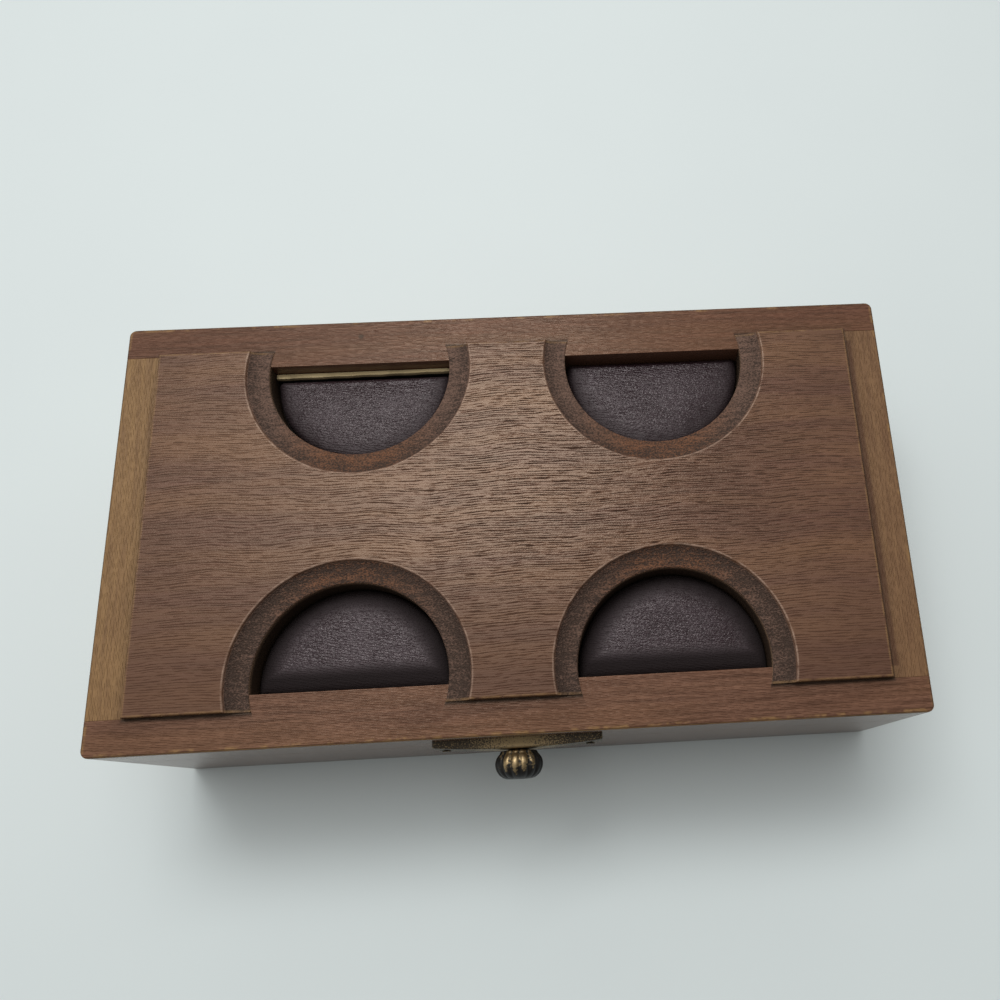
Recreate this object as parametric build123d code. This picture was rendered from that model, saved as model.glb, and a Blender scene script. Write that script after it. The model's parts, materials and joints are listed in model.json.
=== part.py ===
"""Cufflink display box: a hinged wooden box whose lid shows four leather pads in half-round windows.

Millimetres. The origin is the centre of the underside, +Z is up and the front is at -Y.
"""

from build123d import *
import math
import os

# Carcass: one closed box, sawn apart into a base and a lid.
box_length = 200.0
box_depth = 111.0
box_height = 60.0
wall_thickness = 12.6
corner_radius = 1.8
arris_radius = 0.5
rabbet_depth = 4.1
split_height = 40.0
split_gap = 0.2
wood_clearance = 0.1

# Bottom.
felt_thickness = 1.0
felt_inset = 2.0
bottom_thickness = 5.0
bottom_rabbet = 4.0

# Lining and dividers of the base.
card_thickness = 1.5
card_clearance = 0.1
lining_drop = 1.5
divider_thickness = 3.0
divider_height = 22.0
cross_divider_count = 3
compartment_pad_height = 5.5
compartment_pad_round = 1.5
pad_gap = 0.3

# Raised panel of the lid.
panel_length = 181.4
panel_depth = 93.8
panel_rise = 2.0
panel_body_depth = 9.0
panel_arris = 0.35
window_x = 38.8
window_y = 40.5
window_radius = 23.5
cove_radius = 29.0
cove_lip = 0.6

# Leather pads, and the board and card behind them.
leather_pad_height = 5.2
leather_pad_round = 1.5
slipped_pad_shrink = 0.3
slipped_pad_shift = 1.5
strip_width = 1.4
strip_height = 5.0
pad_board_thickness = 3.0

# Butt hinges. Bevels behind the hinge line meet and stop the open lid.
hinge_x = 62.0
hinge_length = 26.0
hinge_inset = 3.5
leaf_thickness = 1.0
leaf_depth = 8.0
knuckle_radius = 1.9
knuckle_groove = 2.2
lid_knuckle_length = 8.7
knuckle_gap = 0.15
hinge_pin_radius = 1.0
running_clearance = 0.05
bevel_angle = 49.0

# Countersunk screws of the hinges.
screw_x = 8.0
screw_set_back = 4.8
screw_radius = 0.8
screw_head_radius = 1.6
screw_head_height = 0.8
screw_length = 8.0
screw_slot = 0.4
screw_clearance = 0.05

# Knob, its plate, its screw and the plate's pins.
knob_radius = 5.8
knob_neck_radius = 2.6
knob_shoulder_radius = 4.9
knob_tip_radius = 3.6
knob_back = 2.6
knob_neck_end = 2.95
knob_widest = 6.1
knob_front = 9.6
flute_count = 15
flute_radius = 0.75
plate_length = 41.0
plate_height = 8.5
plate_thickness = 1.6
plate_bow = 1.0
plate_corner = 1.0
knob_screw_radius = 1.5
knob_screw_reach = 6.4
knob_screw_head_radius = 3.0
knob_screw_head_height = 2.0
knob_screw_recess = 2.3
plate_pin_x = 17.5
plate_pin_radius = 0.6
plate_pin_head_radius = 1.1
plate_pin_head_height = 0.35
plate_pin_length = 8.0
plate_pin_seat = 2.0

# Lengths that follow from these.
half_length = box_length / 2
half_depth = box_depth / 2
inner_x = half_length - wall_thickness
inner_y = half_depth - wall_thickness
rabbet_y = inner_y + rabbet_depth
base_rim = split_height - split_gap / 2
lid_rim = split_height + split_gap / 2
floor_z = felt_thickness + bottom_thickness
lining_floor = floor_z + card_thickness
lining_x = inner_x - card_thickness - card_clearance
lining_y = inner_y - card_thickness - card_clearance
panel_underside = box_height - panel_body_depth
board_underside = panel_underside - pad_board_thickness
hinge_y = half_depth - hinge_inset
knob_z = (lid_rim + box_height) / 2
margin = 1.0


def block(x_range, y_range, z_range):
    """A box between two limits on each axis."""
    low = Vector(x_range[0], y_range[0], z_range[0])
    size = Vector(x_range[1], y_range[1], z_range[1]) - low
    return Pos(low) * Box(size.X, size.Y, size.Z, align=(Align.MIN, Align.MIN, Align.MIN))


def span(half):
    """Limits that are the same distance on both sides of zero."""
    return (-half, half)


def towards(side, near, far):
    """Limits from near to far on the side of zero that side names, +1 or -1."""
    return tuple(sorted((side * near, side * far)))


def rod_x(radius, length, x, y, z):
    """A cylinder along X, centred on a point."""
    return Pos(x, y, z) * Rot(0, 90, 0) * Cylinder(radius, length)


def rod_y(radius, y_range, z):
    """A cylinder along Y at x = 0, between two limits."""
    middle = (y_range[0] + y_range[1]) / 2
    return Pos(0, middle, z) * Rot(90, 0, 0) * Cylinder(radius, y_range[1] - y_range[0])


def soften_top(wall):
    """Round the outer arris along the top of a lid wall."""

    def is_outer(edge):
        middle = edge.center()
        on_side = abs(middle.Y) > half_depth - corner_radius
        on_end = abs(middle.X) > half_length - corner_radius
        return on_side or on_end

    top_edges = wall.edges().group_by(Axis.Z)[-1]
    return fillet(top_edges.filter_by(is_outer), arris_radius)


def long_wall(side, z_range):
    """A front (side -1) or rear (+1) wall, rabbeted at both ends for the end walls."""
    wall = block(span(half_length), towards(side, inner_y, half_depth), z_range)
    for end in (-1, 1):
        end_range = towards(end, inner_x, half_length + margin)
        wall -= block(end_range, towards(side, inner_y - margin, rabbet_y), z_range)
    outer = wall.edges().filter_by(Axis.Z).group_by(Axis.Y)[0 if side < 0 else -1]
    return fillet(outer, corner_radius)


def end_wall(side, z_range):
    """A left (side -1) or right (+1) wall, let into the rabbets of the long walls."""
    return block(towards(side, inner_x, half_length), span(rabbet_y), z_range)


def bottom_recess():
    """The rabbet round the lower inner edge of the base, which the bottom board fills."""
    return block(span(inner_x + bottom_rabbet), span(rabbet_y), (felt_thickness - margin, floor_z))


def stop_bevel(direction):
    """The wedge cut behind the hinge line, below the split (direction -1) or above it (+1)."""
    rim = split_height + direction * split_gap / 2
    reach = hinge_inset + margin
    drop = reach * math.tan(math.radians(bevel_angle))
    apex = (hinge_y, rim)
    outer = (hinge_y + reach, rim + direction * drop)
    middle = (hinge_y + reach, rim - direction * margin)
    low = (hinge_y, rim - direction * margin)
    wedge = make_face(Polyline(apex, outer, middle, low, close=True))
    return extrude(Plane.YZ * wedge, amount=half_length + margin, both=True)


def screw_hole(x, rim):
    """The pilot hole of one hinge screw, reaching its depth on both sides of the rim."""
    depth = screw_length + screw_clearance
    hole = Cylinder(screw_radius + screw_clearance, 2 * depth)
    return Pos(x, hinge_y - screw_set_back, rim) * hole


def hinge_mortises(direction):
    """Everything cut from a rear wall for its two hinge leaves, below (-1) or above (+1) the split."""
    rim = split_height + direction * split_gap / 2
    half_mortise = hinge_length / 2 + wood_clearance
    cuts = []
    for x in (-hinge_x, hinge_x):
        y_range = (hinge_y - leaf_depth - wood_clearance, hinge_y)
        floor = rim + direction * leaf_thickness
        z_range = sorted((floor, rim - direction * margin))
        cuts.append(block((x - half_mortise, x + half_mortise), y_range, z_range))
        cuts.append(rod_x(knuckle_groove, 2 * half_mortise, x, hinge_y, split_height))
        cuts.extend(screw_hole(x + offset, rim) for offset in (-screw_x, screw_x))
    return cuts


def base_walls():
    z_range = (felt_thickness, base_rim)
    rear = long_wall(1, z_range) - bottom_recess() - stop_bevel(-1) - hinge_mortises(-1)
    return {
        "base_front_wall": long_wall(-1, z_range) - bottom_recess(),
        "base_rear_wall": rear,
        "base_left_wall": end_wall(-1, z_range) - bottom_recess(),
        "base_right_wall": end_wall(1, z_range) - bottom_recess(),
    }


def knob_fixing_holes():
    """The knob screw's hole and recess and the pin holes, cut from the lid's front wall."""
    recess_y = -inner_y - knob_screw_recess
    screw = rod_y(knob_screw_radius + screw_clearance, (-half_depth - margin, recess_y), knob_z)
    recess = rod_y(knob_screw_head_radius + wood_clearance, (recess_y, -inner_y + margin), knob_z)
    pin_range = (-half_depth - margin, -half_depth + plate_pin_length)
    pin_hole = rod_y(plate_pin_radius + screw_clearance, pin_range, knob_z)
    return [screw, recess] + [Pos(x, 0, 0) * pin_hole for x in (-plate_pin_x, plate_pin_x)]


def lid_walls():
    z_range = (lid_rim, box_height)
    return {
        "lid_front_wall": soften_top(long_wall(-1, z_range)) - knob_fixing_holes(),
        "lid_rear_wall": soften_top(long_wall(1, z_range)) - stop_bevel(1) - hinge_mortises(1),
        "lid_left_wall": soften_top(end_wall(-1, z_range)),
        "lid_right_wall": soften_top(end_wall(1, z_range)),
    }


def bottom_pieces():
    reach_x = inner_x + bottom_rabbet - wood_clearance
    reach_y = rabbet_y - wood_clearance
    felt_x = half_length - felt_inset
    felt_y = half_depth - felt_inset
    card_z = (floor_z, lining_floor)
    return {
        "bottom_board": block(span(reach_x), span(reach_y), (felt_thickness, floor_z)),
        "base_felt": block(span(felt_x), span(felt_y), (0, felt_thickness)),
        "floor_lining": block(span(inner_x - card_clearance), span(inner_y - card_clearance), card_z),
    }


def linings():
    """Covered cards on the four inner walls of the base."""
    z_range = (lining_floor, base_rim - lining_drop)
    outer_x = inner_x - card_clearance
    outer_y = inner_y - card_clearance
    cards = {}
    for name, side in (("lining_front", -1), ("lining_rear", 1)):
        cards[name] = block(span(outer_x), towards(side, lining_y, outer_y), z_range)
    for name, side in (("lining_left", -1), ("lining_right", 1)):
        cards[name] = block(towards(side, lining_x, outer_x), span(lining_y - card_clearance), z_range)
    return cards


def cross_divider_positions():
    pitch = 2 * lining_x / (cross_divider_count + 1)
    return [pitch * (index + 1) - lining_x for index in range(cross_divider_count)]


def dividers():
    """One long divider and three cross dividers, halved into each other."""
    low = lining_floor
    high = low + divider_height
    half_way = low + divider_height / 2
    half_board = divider_thickness / 2
    half_slot = half_board + card_clearance
    reach_x = lining_x - card_clearance
    reach_y = lining_y - card_clearance
    long_one = block(span(reach_x), span(half_board), (low, high))
    crossing = block(span(half_board), span(reach_y), (low, high))
    crossing -= block(span(half_slot), span(half_slot), (low - margin, half_way))
    boards = {}
    names = ("cross_divider_left", "cross_divider_middle", "cross_divider_right")
    for name, x in zip(names, cross_divider_positions()):
        slot_x = (x - half_slot, x + half_slot)
        long_one -= block(slot_x, span(half_slot), (half_way, high + margin))
        boards[name] = Pos(x, 0, 0) * crossing
    boards["long_divider"] = long_one
    return boards


def compartment_pads():
    """A soft pad in each compartment, numbered from the front left."""
    edges_x = [-lining_x] + cross_divider_positions() + [lining_x]
    middle_gap = divider_thickness / 2 + pad_gap
    z_range = (lining_floor, lining_floor + compartment_pad_height)
    pads = {}
    for row, side in enumerate((-1, 1)):
        y_range = towards(side, middle_gap, lining_y - pad_gap)
        for column in range(cross_divider_count + 1):
            left_board = divider_thickness / 2 if column else 0
            right_board = divider_thickness / 2 if column < cross_divider_count else 0
            x_low = edges_x[column] + left_board + pad_gap
            x_high = edges_x[column + 1] - right_board - pad_gap
            pad = block((x_low, x_high), y_range, z_range)
            pad = fillet(pad.edges().group_by(Axis.Z)[-1], compartment_pad_round)
            number = row * (cross_divider_count + 1) + column + 1
            pads[f"compartment_pad_{number}"] = pad
    return pads


def window_cut():
    """What one window takes out of the panel: the opening and the cove round it."""
    panel_top = box_height + panel_rise
    lip = box_height + cove_lip
    through = panel_body_depth + panel_rise + margin
    opening = Pos(0, 0, panel_underside) * Cylinder(window_radius, 2 * through)
    eighth_turn = math.sqrt(0.5)
    cove_width = cove_radius - window_radius
    belly = (window_radius + cove_width * eighth_turn, panel_top - (panel_rise - cove_lip) * eighth_turn)
    above = panel_top + margin
    rim = (cove_radius, panel_top)
    cove = Polyline((window_radius, lip), (0, lip), (0, above), (cove_radius, above), rim)
    cove += ThreePointArc(rim, belly, (window_radius, lip))
    return opening + revolve(Plane.XZ * make_face(cove), Axis.Z)


def raised_panel():
    lip = block(span(panel_length / 2), span(panel_depth / 2), (box_height, box_height + panel_rise))
    lip = fillet(lip.edges().group_by(Axis.Z)[-1], panel_arris)
    body_x = inner_x - wood_clearance
    body_y = inner_y - wood_clearance
    panel = lip + block(span(body_x), span(body_y), (panel_underside, box_height))
    for x in (-window_x, window_x):
        for y in (-window_y, window_y):
            panel -= Pos(x, y, 0) * window_cut()
    return panel


def leather_pad(side_x, side_y, radius, edge_y):
    """A half-round pad that fills one window, with its straight edge along the wall."""
    high = panel_underside + leather_pad_height
    centre = Pos(side_x * window_x, side_y * window_y, panel_underside)
    disc = centre * Cylinder(radius, 2 * panel_body_depth)
    pad = disc & block(span(half_length), towards(side_y, 0, edge_y), (panel_underside, high))
    return fillet(pad.edges().group_by(Axis.Z)[-1], leather_pad_round)


def leather_pads():
    """Four pads; the rear left one has shrunk and slipped forward off its packing strip."""
    radius = window_radius - pad_gap
    edge_y = inner_y - pad_gap
    slipped_edge = edge_y - slipped_pad_shift
    strip_x = (-window_x - window_radius + pad_gap, -window_x + window_radius - pad_gap)
    strip_y = (inner_y - wood_clearance - strip_width, inner_y - wood_clearance)
    strip = block(strip_x, strip_y, (panel_underside, panel_underside + strip_height))
    inside = Pos(-window_x, window_y, panel_underside) * Cylinder(radius, 2 * panel_body_depth)
    return {
        "pad_front_left": leather_pad(-1, -1, radius, edge_y),
        "pad_front_right": leather_pad(1, -1, radius, edge_y),
        "pad_rear_left": leather_pad(-1, 1, radius - slipped_pad_shrink, slipped_edge),
        "pad_rear_right": leather_pad(1, 1, radius, edge_y),
        "packing_strip": strip & inside,
    }


def lid_boards():
    reach_x = inner_x - wood_clearance
    reach_y = inner_y - wood_clearance
    card_z = (board_underside - card_thickness, board_underside)
    return {
        "pad_board": block(span(reach_x), span(reach_y), (board_underside, panel_underside)),
        "lid_lining": block(span(reach_x), span(reach_y), card_z),
    }


def countersunk_hole(x, rim, direction):
    """A screw hole in a leaf, widest at the rim face."""
    radius = screw_radius + screw_clearance
    head_radius = screw_head_radius + screw_clearance
    shank = Cylinder(radius, screw_length)
    head = Pos(0, 0, -screw_head_height / 2) * Cone(radius, head_radius, screw_head_height)
    turn = Rot(0, 0, 0) if direction < 0 else Rot(180, 0, 0)
    return Pos(x, hinge_y - screw_set_back, rim) * turn * (shank + head)


def leaf(x, direction):
    """A hinge leaf: the base's (-1) has the two outer knuckles, the lid's (+1) the middle one."""
    rim = split_height + direction * split_gap / 2
    half_hinge = hinge_length / 2
    half_middle = lid_knuckle_length / 2
    z_range = sorted((rim, rim + direction * leaf_thickness))
    plate = block(span(half_hinge), (hinge_y - leaf_depth, hinge_y), z_range)
    outer_length = half_hinge - half_middle - knuckle_gap
    outer_x = half_hinge - outer_length / 2
    clear_y = (hinge_y - knuckle_groove, hinge_y + margin)
    tall = (split_height - 2 * knuckle_radius, split_height + 2 * knuckle_radius)
    if direction < 0:
        plate -= block(span(half_middle + knuckle_gap), clear_y, tall)
        knuckle = rod_x(knuckle_radius, outer_length, outer_x, hinge_y, split_height)
        plate += [knuckle, Pos(-2 * outer_x, 0, 0) * knuckle]
        bore = hinge_pin_radius
    else:
        plate -= [block(towards(side, half_middle, half_hinge + margin), clear_y, tall) for side in (-1, 1)]
        plate += rod_x(knuckle_radius, lid_knuckle_length, 0, hinge_y, split_height)
        bore = hinge_pin_radius + running_clearance
    plate -= rod_x(bore, hinge_length + margin, 0, hinge_y, split_height)
    plate -= [countersunk_hole(side * screw_x, rim, direction) for side in (-1, 1)]
    return Pos(x, 0, 0) * plate


def hinge_screws(direction):
    """The four slotted screws of the base's (-1) or the lid's (+1) leaves."""
    rim = split_height + direction * split_gap / 2
    shank = Pos(0, 0, -screw_length / 2) * Cylinder(screw_radius, screw_length)
    head = Pos(0, 0, -screw_head_height / 2) * Cone(screw_radius, screw_head_radius, screw_head_height)
    screw = shank + head - Box(4 * screw_head_radius, screw_slot, screw_slot)
    turn = Rot(0, 0, 0) if direction < 0 else Rot(180, 0, 0)
    places = [x + offset for x in (-hinge_x, hinge_x) for offset in (-screw_x, screw_x)]
    y = hinge_y - screw_set_back
    return Compound(children=[Pos(x, y, rim) * turn * screw for x in places])


def hinges():
    pieces = {"base_hinge_screws": hinge_screws(-1), "lid_hinge_screws": hinge_screws(1)}
    for name, x in (("left", -hinge_x), ("right", hinge_x)):
        pieces[f"base_leaf_{name}"] = leaf(x, -1)
        pieces[f"lid_leaf_{name}"] = leaf(x, 1)
        pieces[f"hinge_pin_{name}"] = rod_x(hinge_pin_radius, hinge_length, x, hinge_y, split_height)
    return pieces


def knob():
    """A ribbed knob turned about Z, then laid so that its front points to -Y."""
    shoulder = (knob_shoulder_radius, knob_neck_end)
    profile = Polyline(
        (0, knob_back), (knob_neck_radius, knob_back), (knob_neck_radius, knob_neck_end), shoulder
    )
    profile += ThreePointArc(shoulder, (knob_radius, knob_widest), (knob_tip_radius, knob_front))
    profile += Polyline((knob_tip_radius, knob_front), (0, knob_front), (0, knob_back))
    body = revolve(Plane.XZ * make_face(profile), Axis.Z)
    flute = Cylinder(flute_radius, 4 * knob_front)
    for index in range(flute_count):
        body -= Rot(0, 0, 360 * index / flute_count) * Pos(knob_radius + flute_radius / 2, 0, 0) * flute
    bore_depth = knob_screw_reach - knob_back + screw_clearance
    bore = Cylinder(knob_screw_radius + screw_clearance, 2 * bore_depth)
    body -= Pos(0, 0, knob_back) * bore
    return Pos(0, -half_depth, knob_z) * Rot(90, 0, 0) * body


def knob_screw():
    recess_y = -inner_y - knob_screw_recess
    shank = rod_y(knob_screw_radius, (-half_depth - knob_screw_reach, recess_y), knob_z)
    head = rod_y(knob_screw_head_radius, (recess_y, recess_y + knob_screw_head_height), knob_z)
    slot_y = (recess_y + knob_screw_head_height - 2 * screw_slot, recess_y + knob_screw_head_height)
    slot_z = (knob_z - screw_slot, knob_z + screw_slot)
    return shank + head - block(span(2 * knob_screw_head_radius), slot_y, slot_z)


def knob_plate():
    """A narrow strip, flat against the wall and swelling forward in the middle."""
    half_plate = plate_length / 2
    back = -half_depth
    front = back - plate_thickness
    outline = Polyline((-half_plate, front), (-half_plate, back), (half_plate, back), (half_plate, front))
    outline += ThreePointArc((half_plate, front), (0, front - plate_bow), (-half_plate, front))
    plate = Pos(0, 0, knob_z - plate_height / 2) * extrude(make_face(outline), amount=plate_height)
    plate = fillet(plate.edges().filter_by(Axis.Y), plate_corner)
    holes = (-half_depth - 2 * knob_back, -half_depth + margin)
    plate -= rod_y(knob_screw_radius + screw_clearance, holes, knob_z)
    pin_hole = rod_y(plate_pin_radius + screw_clearance, holes, knob_z)
    return plate - [Pos(x, 0, 0) * pin_hole for x in (-plate_pin_x, plate_pin_x)]


def plate_pins():
    """Two domed pins that hold the plate's ends."""
    seat = -half_depth - plate_pin_seat
    shank = rod_y(plate_pin_radius, (seat, -half_depth + plate_pin_length - screw_clearance), knob_z)
    head = rod_y(plate_pin_head_radius, (seat - plate_pin_head_height, seat), knob_z)
    head = fillet(head.edges().group_by(Axis.Y)[0], plate_pin_head_height / 2)
    pin = shank + head
    return Compound(children=[Pos(x, 0, 0) * pin for x in (-plate_pin_x, plate_pin_x)])


def knob_pieces():
    return {
        "knob": knob(),
        "knob_plate": knob_plate(),
        "knob_screw": knob_screw(),
        "plate_pins": plate_pins(),
    }


def all_pieces():
    pieces = {"raised_panel": raised_panel()}
    makers = (
        base_walls,
        bottom_pieces,
        linings,
        dividers,
        compartment_pads,
        lid_walls,
        leather_pads,
        lid_boards,
        hinges,
        knob_pieces,
    )
    for maker in makers:
        pieces.update(maker())
    return pieces


os.makedirs("parts", exist_ok=True)
for piece_name, piece in all_pieces().items():
    export_step(piece, f"parts/{piece_name}.step")
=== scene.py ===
"""Dressing for a cufflink display box: worn stained wood, leather pads, aged brass and a velvet lining.

Laid out as an add-on and run as a script. Lengths are in metres in the box's own frame: the origin is the
centre of the underside, +Z is up and the front is at -Y.
"""

from contextlib import contextmanager
from functools import partial
import json
import math
import random

import bmesh
import bpy
from mathutils import Matrix, Vector


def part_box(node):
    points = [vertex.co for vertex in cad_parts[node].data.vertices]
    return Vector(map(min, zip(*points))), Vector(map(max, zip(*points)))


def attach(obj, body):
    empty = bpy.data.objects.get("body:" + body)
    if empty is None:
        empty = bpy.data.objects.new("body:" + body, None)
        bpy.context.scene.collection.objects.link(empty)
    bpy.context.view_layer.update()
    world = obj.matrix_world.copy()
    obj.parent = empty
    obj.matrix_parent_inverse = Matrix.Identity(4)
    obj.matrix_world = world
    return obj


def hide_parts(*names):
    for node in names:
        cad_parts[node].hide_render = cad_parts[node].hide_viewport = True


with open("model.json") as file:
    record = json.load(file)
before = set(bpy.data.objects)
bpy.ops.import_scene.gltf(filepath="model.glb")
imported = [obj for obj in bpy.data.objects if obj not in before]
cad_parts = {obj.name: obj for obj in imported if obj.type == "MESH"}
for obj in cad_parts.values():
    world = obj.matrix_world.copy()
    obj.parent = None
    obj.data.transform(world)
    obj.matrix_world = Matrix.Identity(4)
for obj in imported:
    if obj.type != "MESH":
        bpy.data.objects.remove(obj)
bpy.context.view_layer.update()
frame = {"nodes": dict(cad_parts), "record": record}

bl_info = {
    "name": "Cufflink display box",
    "version": (1, 0, 0),
    "blender": (4, 5, 0),
    "location": "3D View > Sidebar > Cufflink Box",
    "description": "Builds the worn wood, leather, brass and velvet of a cufflink display box",
    "category": "Object",
}

MM = 0.001
BAND_SPACING = math.pi / 10  # how far apart a wave texture's bands lie at a scale of 1

# Settings that many nodes share. A Mix node's inputs go by number: 0 is its factor, 2 and 3 the numbers that
# it mixes, and 6 and 7 the colours, which come out at 2.
COLOURS = {"output": 2, "data_type": "RGBA"}
NUMBERS = {"data_type": "FLOAT"}
EASED = {"interpolation_type": "SMOOTHSTEP"}

# The box's own planes and sizes, read from the frame.
panel_low, panel_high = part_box("raised_panel")
front_wall_low, front_wall_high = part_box("lid_front_wall")
plate_low, plate_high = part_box("knob_plate")
knob_low, knob_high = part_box("knob")
rail_top = front_wall_high.z
front_face = front_wall_low.y
inner_y = -front_wall_high.y
inner_x = -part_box("lid_left_wall")[1].x
panel_top = panel_high.z
panel_underside = panel_low.z
half_box = Vector((front_wall_high.x, -front_face, 0))


# ----- Settings that a user would change -----


def to_linear(hex_colour):
    """Linear RGBA from an sRGB hex colour."""
    parts = [int(hex_colour[i:i + 2], 16) / 255 for i in (1, 3, 5)]
    return [c / 12.92 if c <= 0.04045 else ((c + 0.055) / 1.055) ** 2.4 for c in parts] + [1.0]


def colour_property(name, description, hex_colour):
    return bpy.props.FloatVectorProperty(
        name=name, description=description, subtype="COLOR", size=4, min=0, max=1,
        default=to_linear(hex_colour),
    )


def length_property(name, description, metres):
    return bpy.props.FloatProperty(
        name=name, description=description, unit="LENGTH", subtype="DISTANCE", min=0, precision=5,
        default=metres,
    )


class WoodSettings(bpy.types.PropertyGroup):
    """Stain, pores and wear of the hardwood."""

    stain: colour_property("Stain", "Colour of the stained panel", "#5e3e32")
    # The deep stain also serves as painted shade towards the front of the panel.
    deep_stain_and_shade: colour_property("Deep stain", "Colour where the stain has soaked in", "#4e3225")
    golden: colour_property("Golden band", "Colour of the paler bands of figure", "#735138")
    rail_stain: colour_property("Rail stain", "Colour of the front walls", "#72503f")
    rear_stain: colour_property("Rear stain", "Colour of the rear walls", "#694535")
    side_stain: colour_property("Side stain", "Colour of the end walls, which took less stain", "#7b5d41")
    # Painted light: the left end walls are painted paler than the right ones, as more light falls on the
    # left.
    left_stain_painted_lighter: colour_property("Left end stain", "Colour of the left end walls, paler still", "#8d6e49")
    pore: colour_property("Pores", "Colour of the open pores", "#2e1c14")
    cove: colour_property("Cove", "Colour of the routed coves", "#2e201c")
    burnished_cove: colour_property("Burnished cove", "Colour of a cove cut along the grain", "#744c35")
    end_grain: colour_property("End grain", "Colour of a cove cut across the grain", "#6b5247")
    # The rim colour is a painted highlight on the rounded outer edge of a cove.
    rim: colour_property("Rim", "Colour of the rubbed rim of a cove", "#a58b7a")
    recess: colour_property("Recess", "Colour of the sawn edge inside a window", "#8a705a")
    # The grime colour also serves as painted shade: the panel's shadow on the walls and the darkening towards
    # the bottom inside the windows and the box.
    grime_and_shade: colour_property("Grime", "Colour of the old polish in corners and along arrises", "#1c120d")
    worn: colour_property("Worn arris", "Colour where an arris has worn through the stain", "#8a6a44")
    pore_spacing: length_property("Pore spacing", "Distance between lines of pores", 0.52 * MM)
    pore_length: length_property("Pore length", "Length of one open pore", 3.5 * MM)
    pore_width: length_property("Pore width", "Width of one open pore", 0.6 * MM)
    arris: length_property("Arris", "Rounding of the boards' edges", 0.16 * MM)


class PanelSettings(bpy.types.PropertyGroup):
    """The windows and coves of the raised panel."""

    window_x: length_property("Window X", "Window centre, left or right of the middle", 38.8 * MM)
    window_y: length_property("Window Y", "Window centre, in front of or behind the middle", 40.5 * MM)
    window_radius: length_property("Window radius", "Radius of a window", 23.5 * MM)
    cove_radius: length_property("Cove radius", "Outer radius of the cove round a window", 29.0 * MM)
    cove_lip: length_property("Cove lip", "Height of the cove's inner edge above the walls", 0.4 * MM)
    arris: length_property("Arris", "Rounding of the panel's edges", 0.35 * MM)
    rim: length_property("Rim", "Rounding of the outer edge of a cove", 0.4 * MM)


class LeatherSettings(bpy.types.PropertyGroup):
    """The pads in the windows."""

    hide: colour_property("Hide", "Colour of the dyed leather", "#291a1f")
    # The crease colour is also the painted shade at a pad's border.
    crease_and_shade: colour_property("Creases", "Colour in the creases of the grain", "#140d0e")
    # The rubbed colour is also used for the painted glints on the grain.
    rubbed: colour_property("Rubbed hide", "Colour where the dye has rubbed thin", "#81757b")
    grain: length_property("Grain", "Size of one pebble of the grain", 0.55 * MM)
    crown: length_property("Crown", "Height that a pad swells above its edge", 1.1 * MM)
    roll: length_property("Roll", "Rounding of a pad where it turns down to its window", 2.2 * MM)
    reach: length_property("Reach", "How far the leather reaches past its solid on each side", 0.12 * MM)


class BrassSettings(bpy.types.PropertyGroup):
    """The knob, plate, pins and hinges."""

    # On the knob this colour also carries the painted highlight of its upper side.
    bright: colour_property("Rubbed brass", "Colour where handling keeps the brass bright", "#cbb186")
    patina: colour_property("Patina", "Colour of the dark antique finish", "#0e0b09")
    plate: colour_property("Plate patina", "Colour of the thinner finish on the plate", "#342c20")
    hinge: colour_property("Hinge brass", "Colour of the plain hinge brass", "#b08d4c")
    ribs: bpy.props.IntProperty(name="Ribs", description="Ribs round the knob", min=3, default=15)


class ClothSettings(bpy.types.PropertyGroup):
    """The velvet, felt and boards inside."""

    velvet: colour_property("Velvet", "Colour of the velvet lining and pads", "#6d5a33")
    nap: colour_property("Nap", "Colour of the velvet where its nap is brushed", "#8a7548")
    felt: colour_property("Felt", "Colour of the felt under the box", "#33241b")
    raw_wood: colour_property("Raw wood", "Colour of the unstained boards", "#a88f6a")
    # The pad board is painted shade: it is black so the gaps round the pads look dark.
    shade_black_wood: colour_property("Blacked wood", "Colour of the painted board behind the pads", "#1b1613")
    pale_wood: colour_property("Pale wood", "Colour of the packing strip", "#cbb78d")
    swell: length_property("Swell", "Height that a compartment pad swells", 2.0 * MM)


class StageSettings(bpy.types.PropertyGroup):
    """Floor, light and camera."""

    floor: colour_property("Floor", "Colour of the pale floor", "#dbe4e4")
    sky: bpy.props.FloatProperty(name="Sky", description="Strength of the even light", min=0, default=0.43)
    window_light: bpy.props.FloatProperty(
        name="Window light", description="Power of the soft light behind", unit="POWER", min=0, default=3.4,
    )
    ceiling_light: bpy.props.FloatProperty(
        name="Ceiling light", description="Power of the broad light above", unit="POWER", min=0, default=5.1,
    )
    light_distance: length_property("Light distance", "How far the soft light hangs from the box", 1.1)
    camera_place: bpy.props.FloatVectorProperty(
        name="Camera place", description="Where the camera stands", subtype="TRANSLATION", unit="LENGTH",
        default=(18.99 * MM, -72.09 * MM, 272.32 * MM),
    )
    camera_turn: bpy.props.FloatVectorProperty(
        name="Camera turn", description="How the camera is turned", subtype="EULER",
        default=[math.radians(angle) for angle in (17.178, -1.267, -3.219)],
    )
    lens: bpy.props.FloatProperty(name="Lens", description="Focal length in millimetres", default=31.84)


SETTINGS = {
    "box_wood": WoodSettings,
    "box_panel": PanelSettings,
    "box_leather": LeatherSettings,
    "box_brass": BrassSettings,
    "box_cloth": ClothSettings,
    "box_stage": StageSettings,
}

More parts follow.
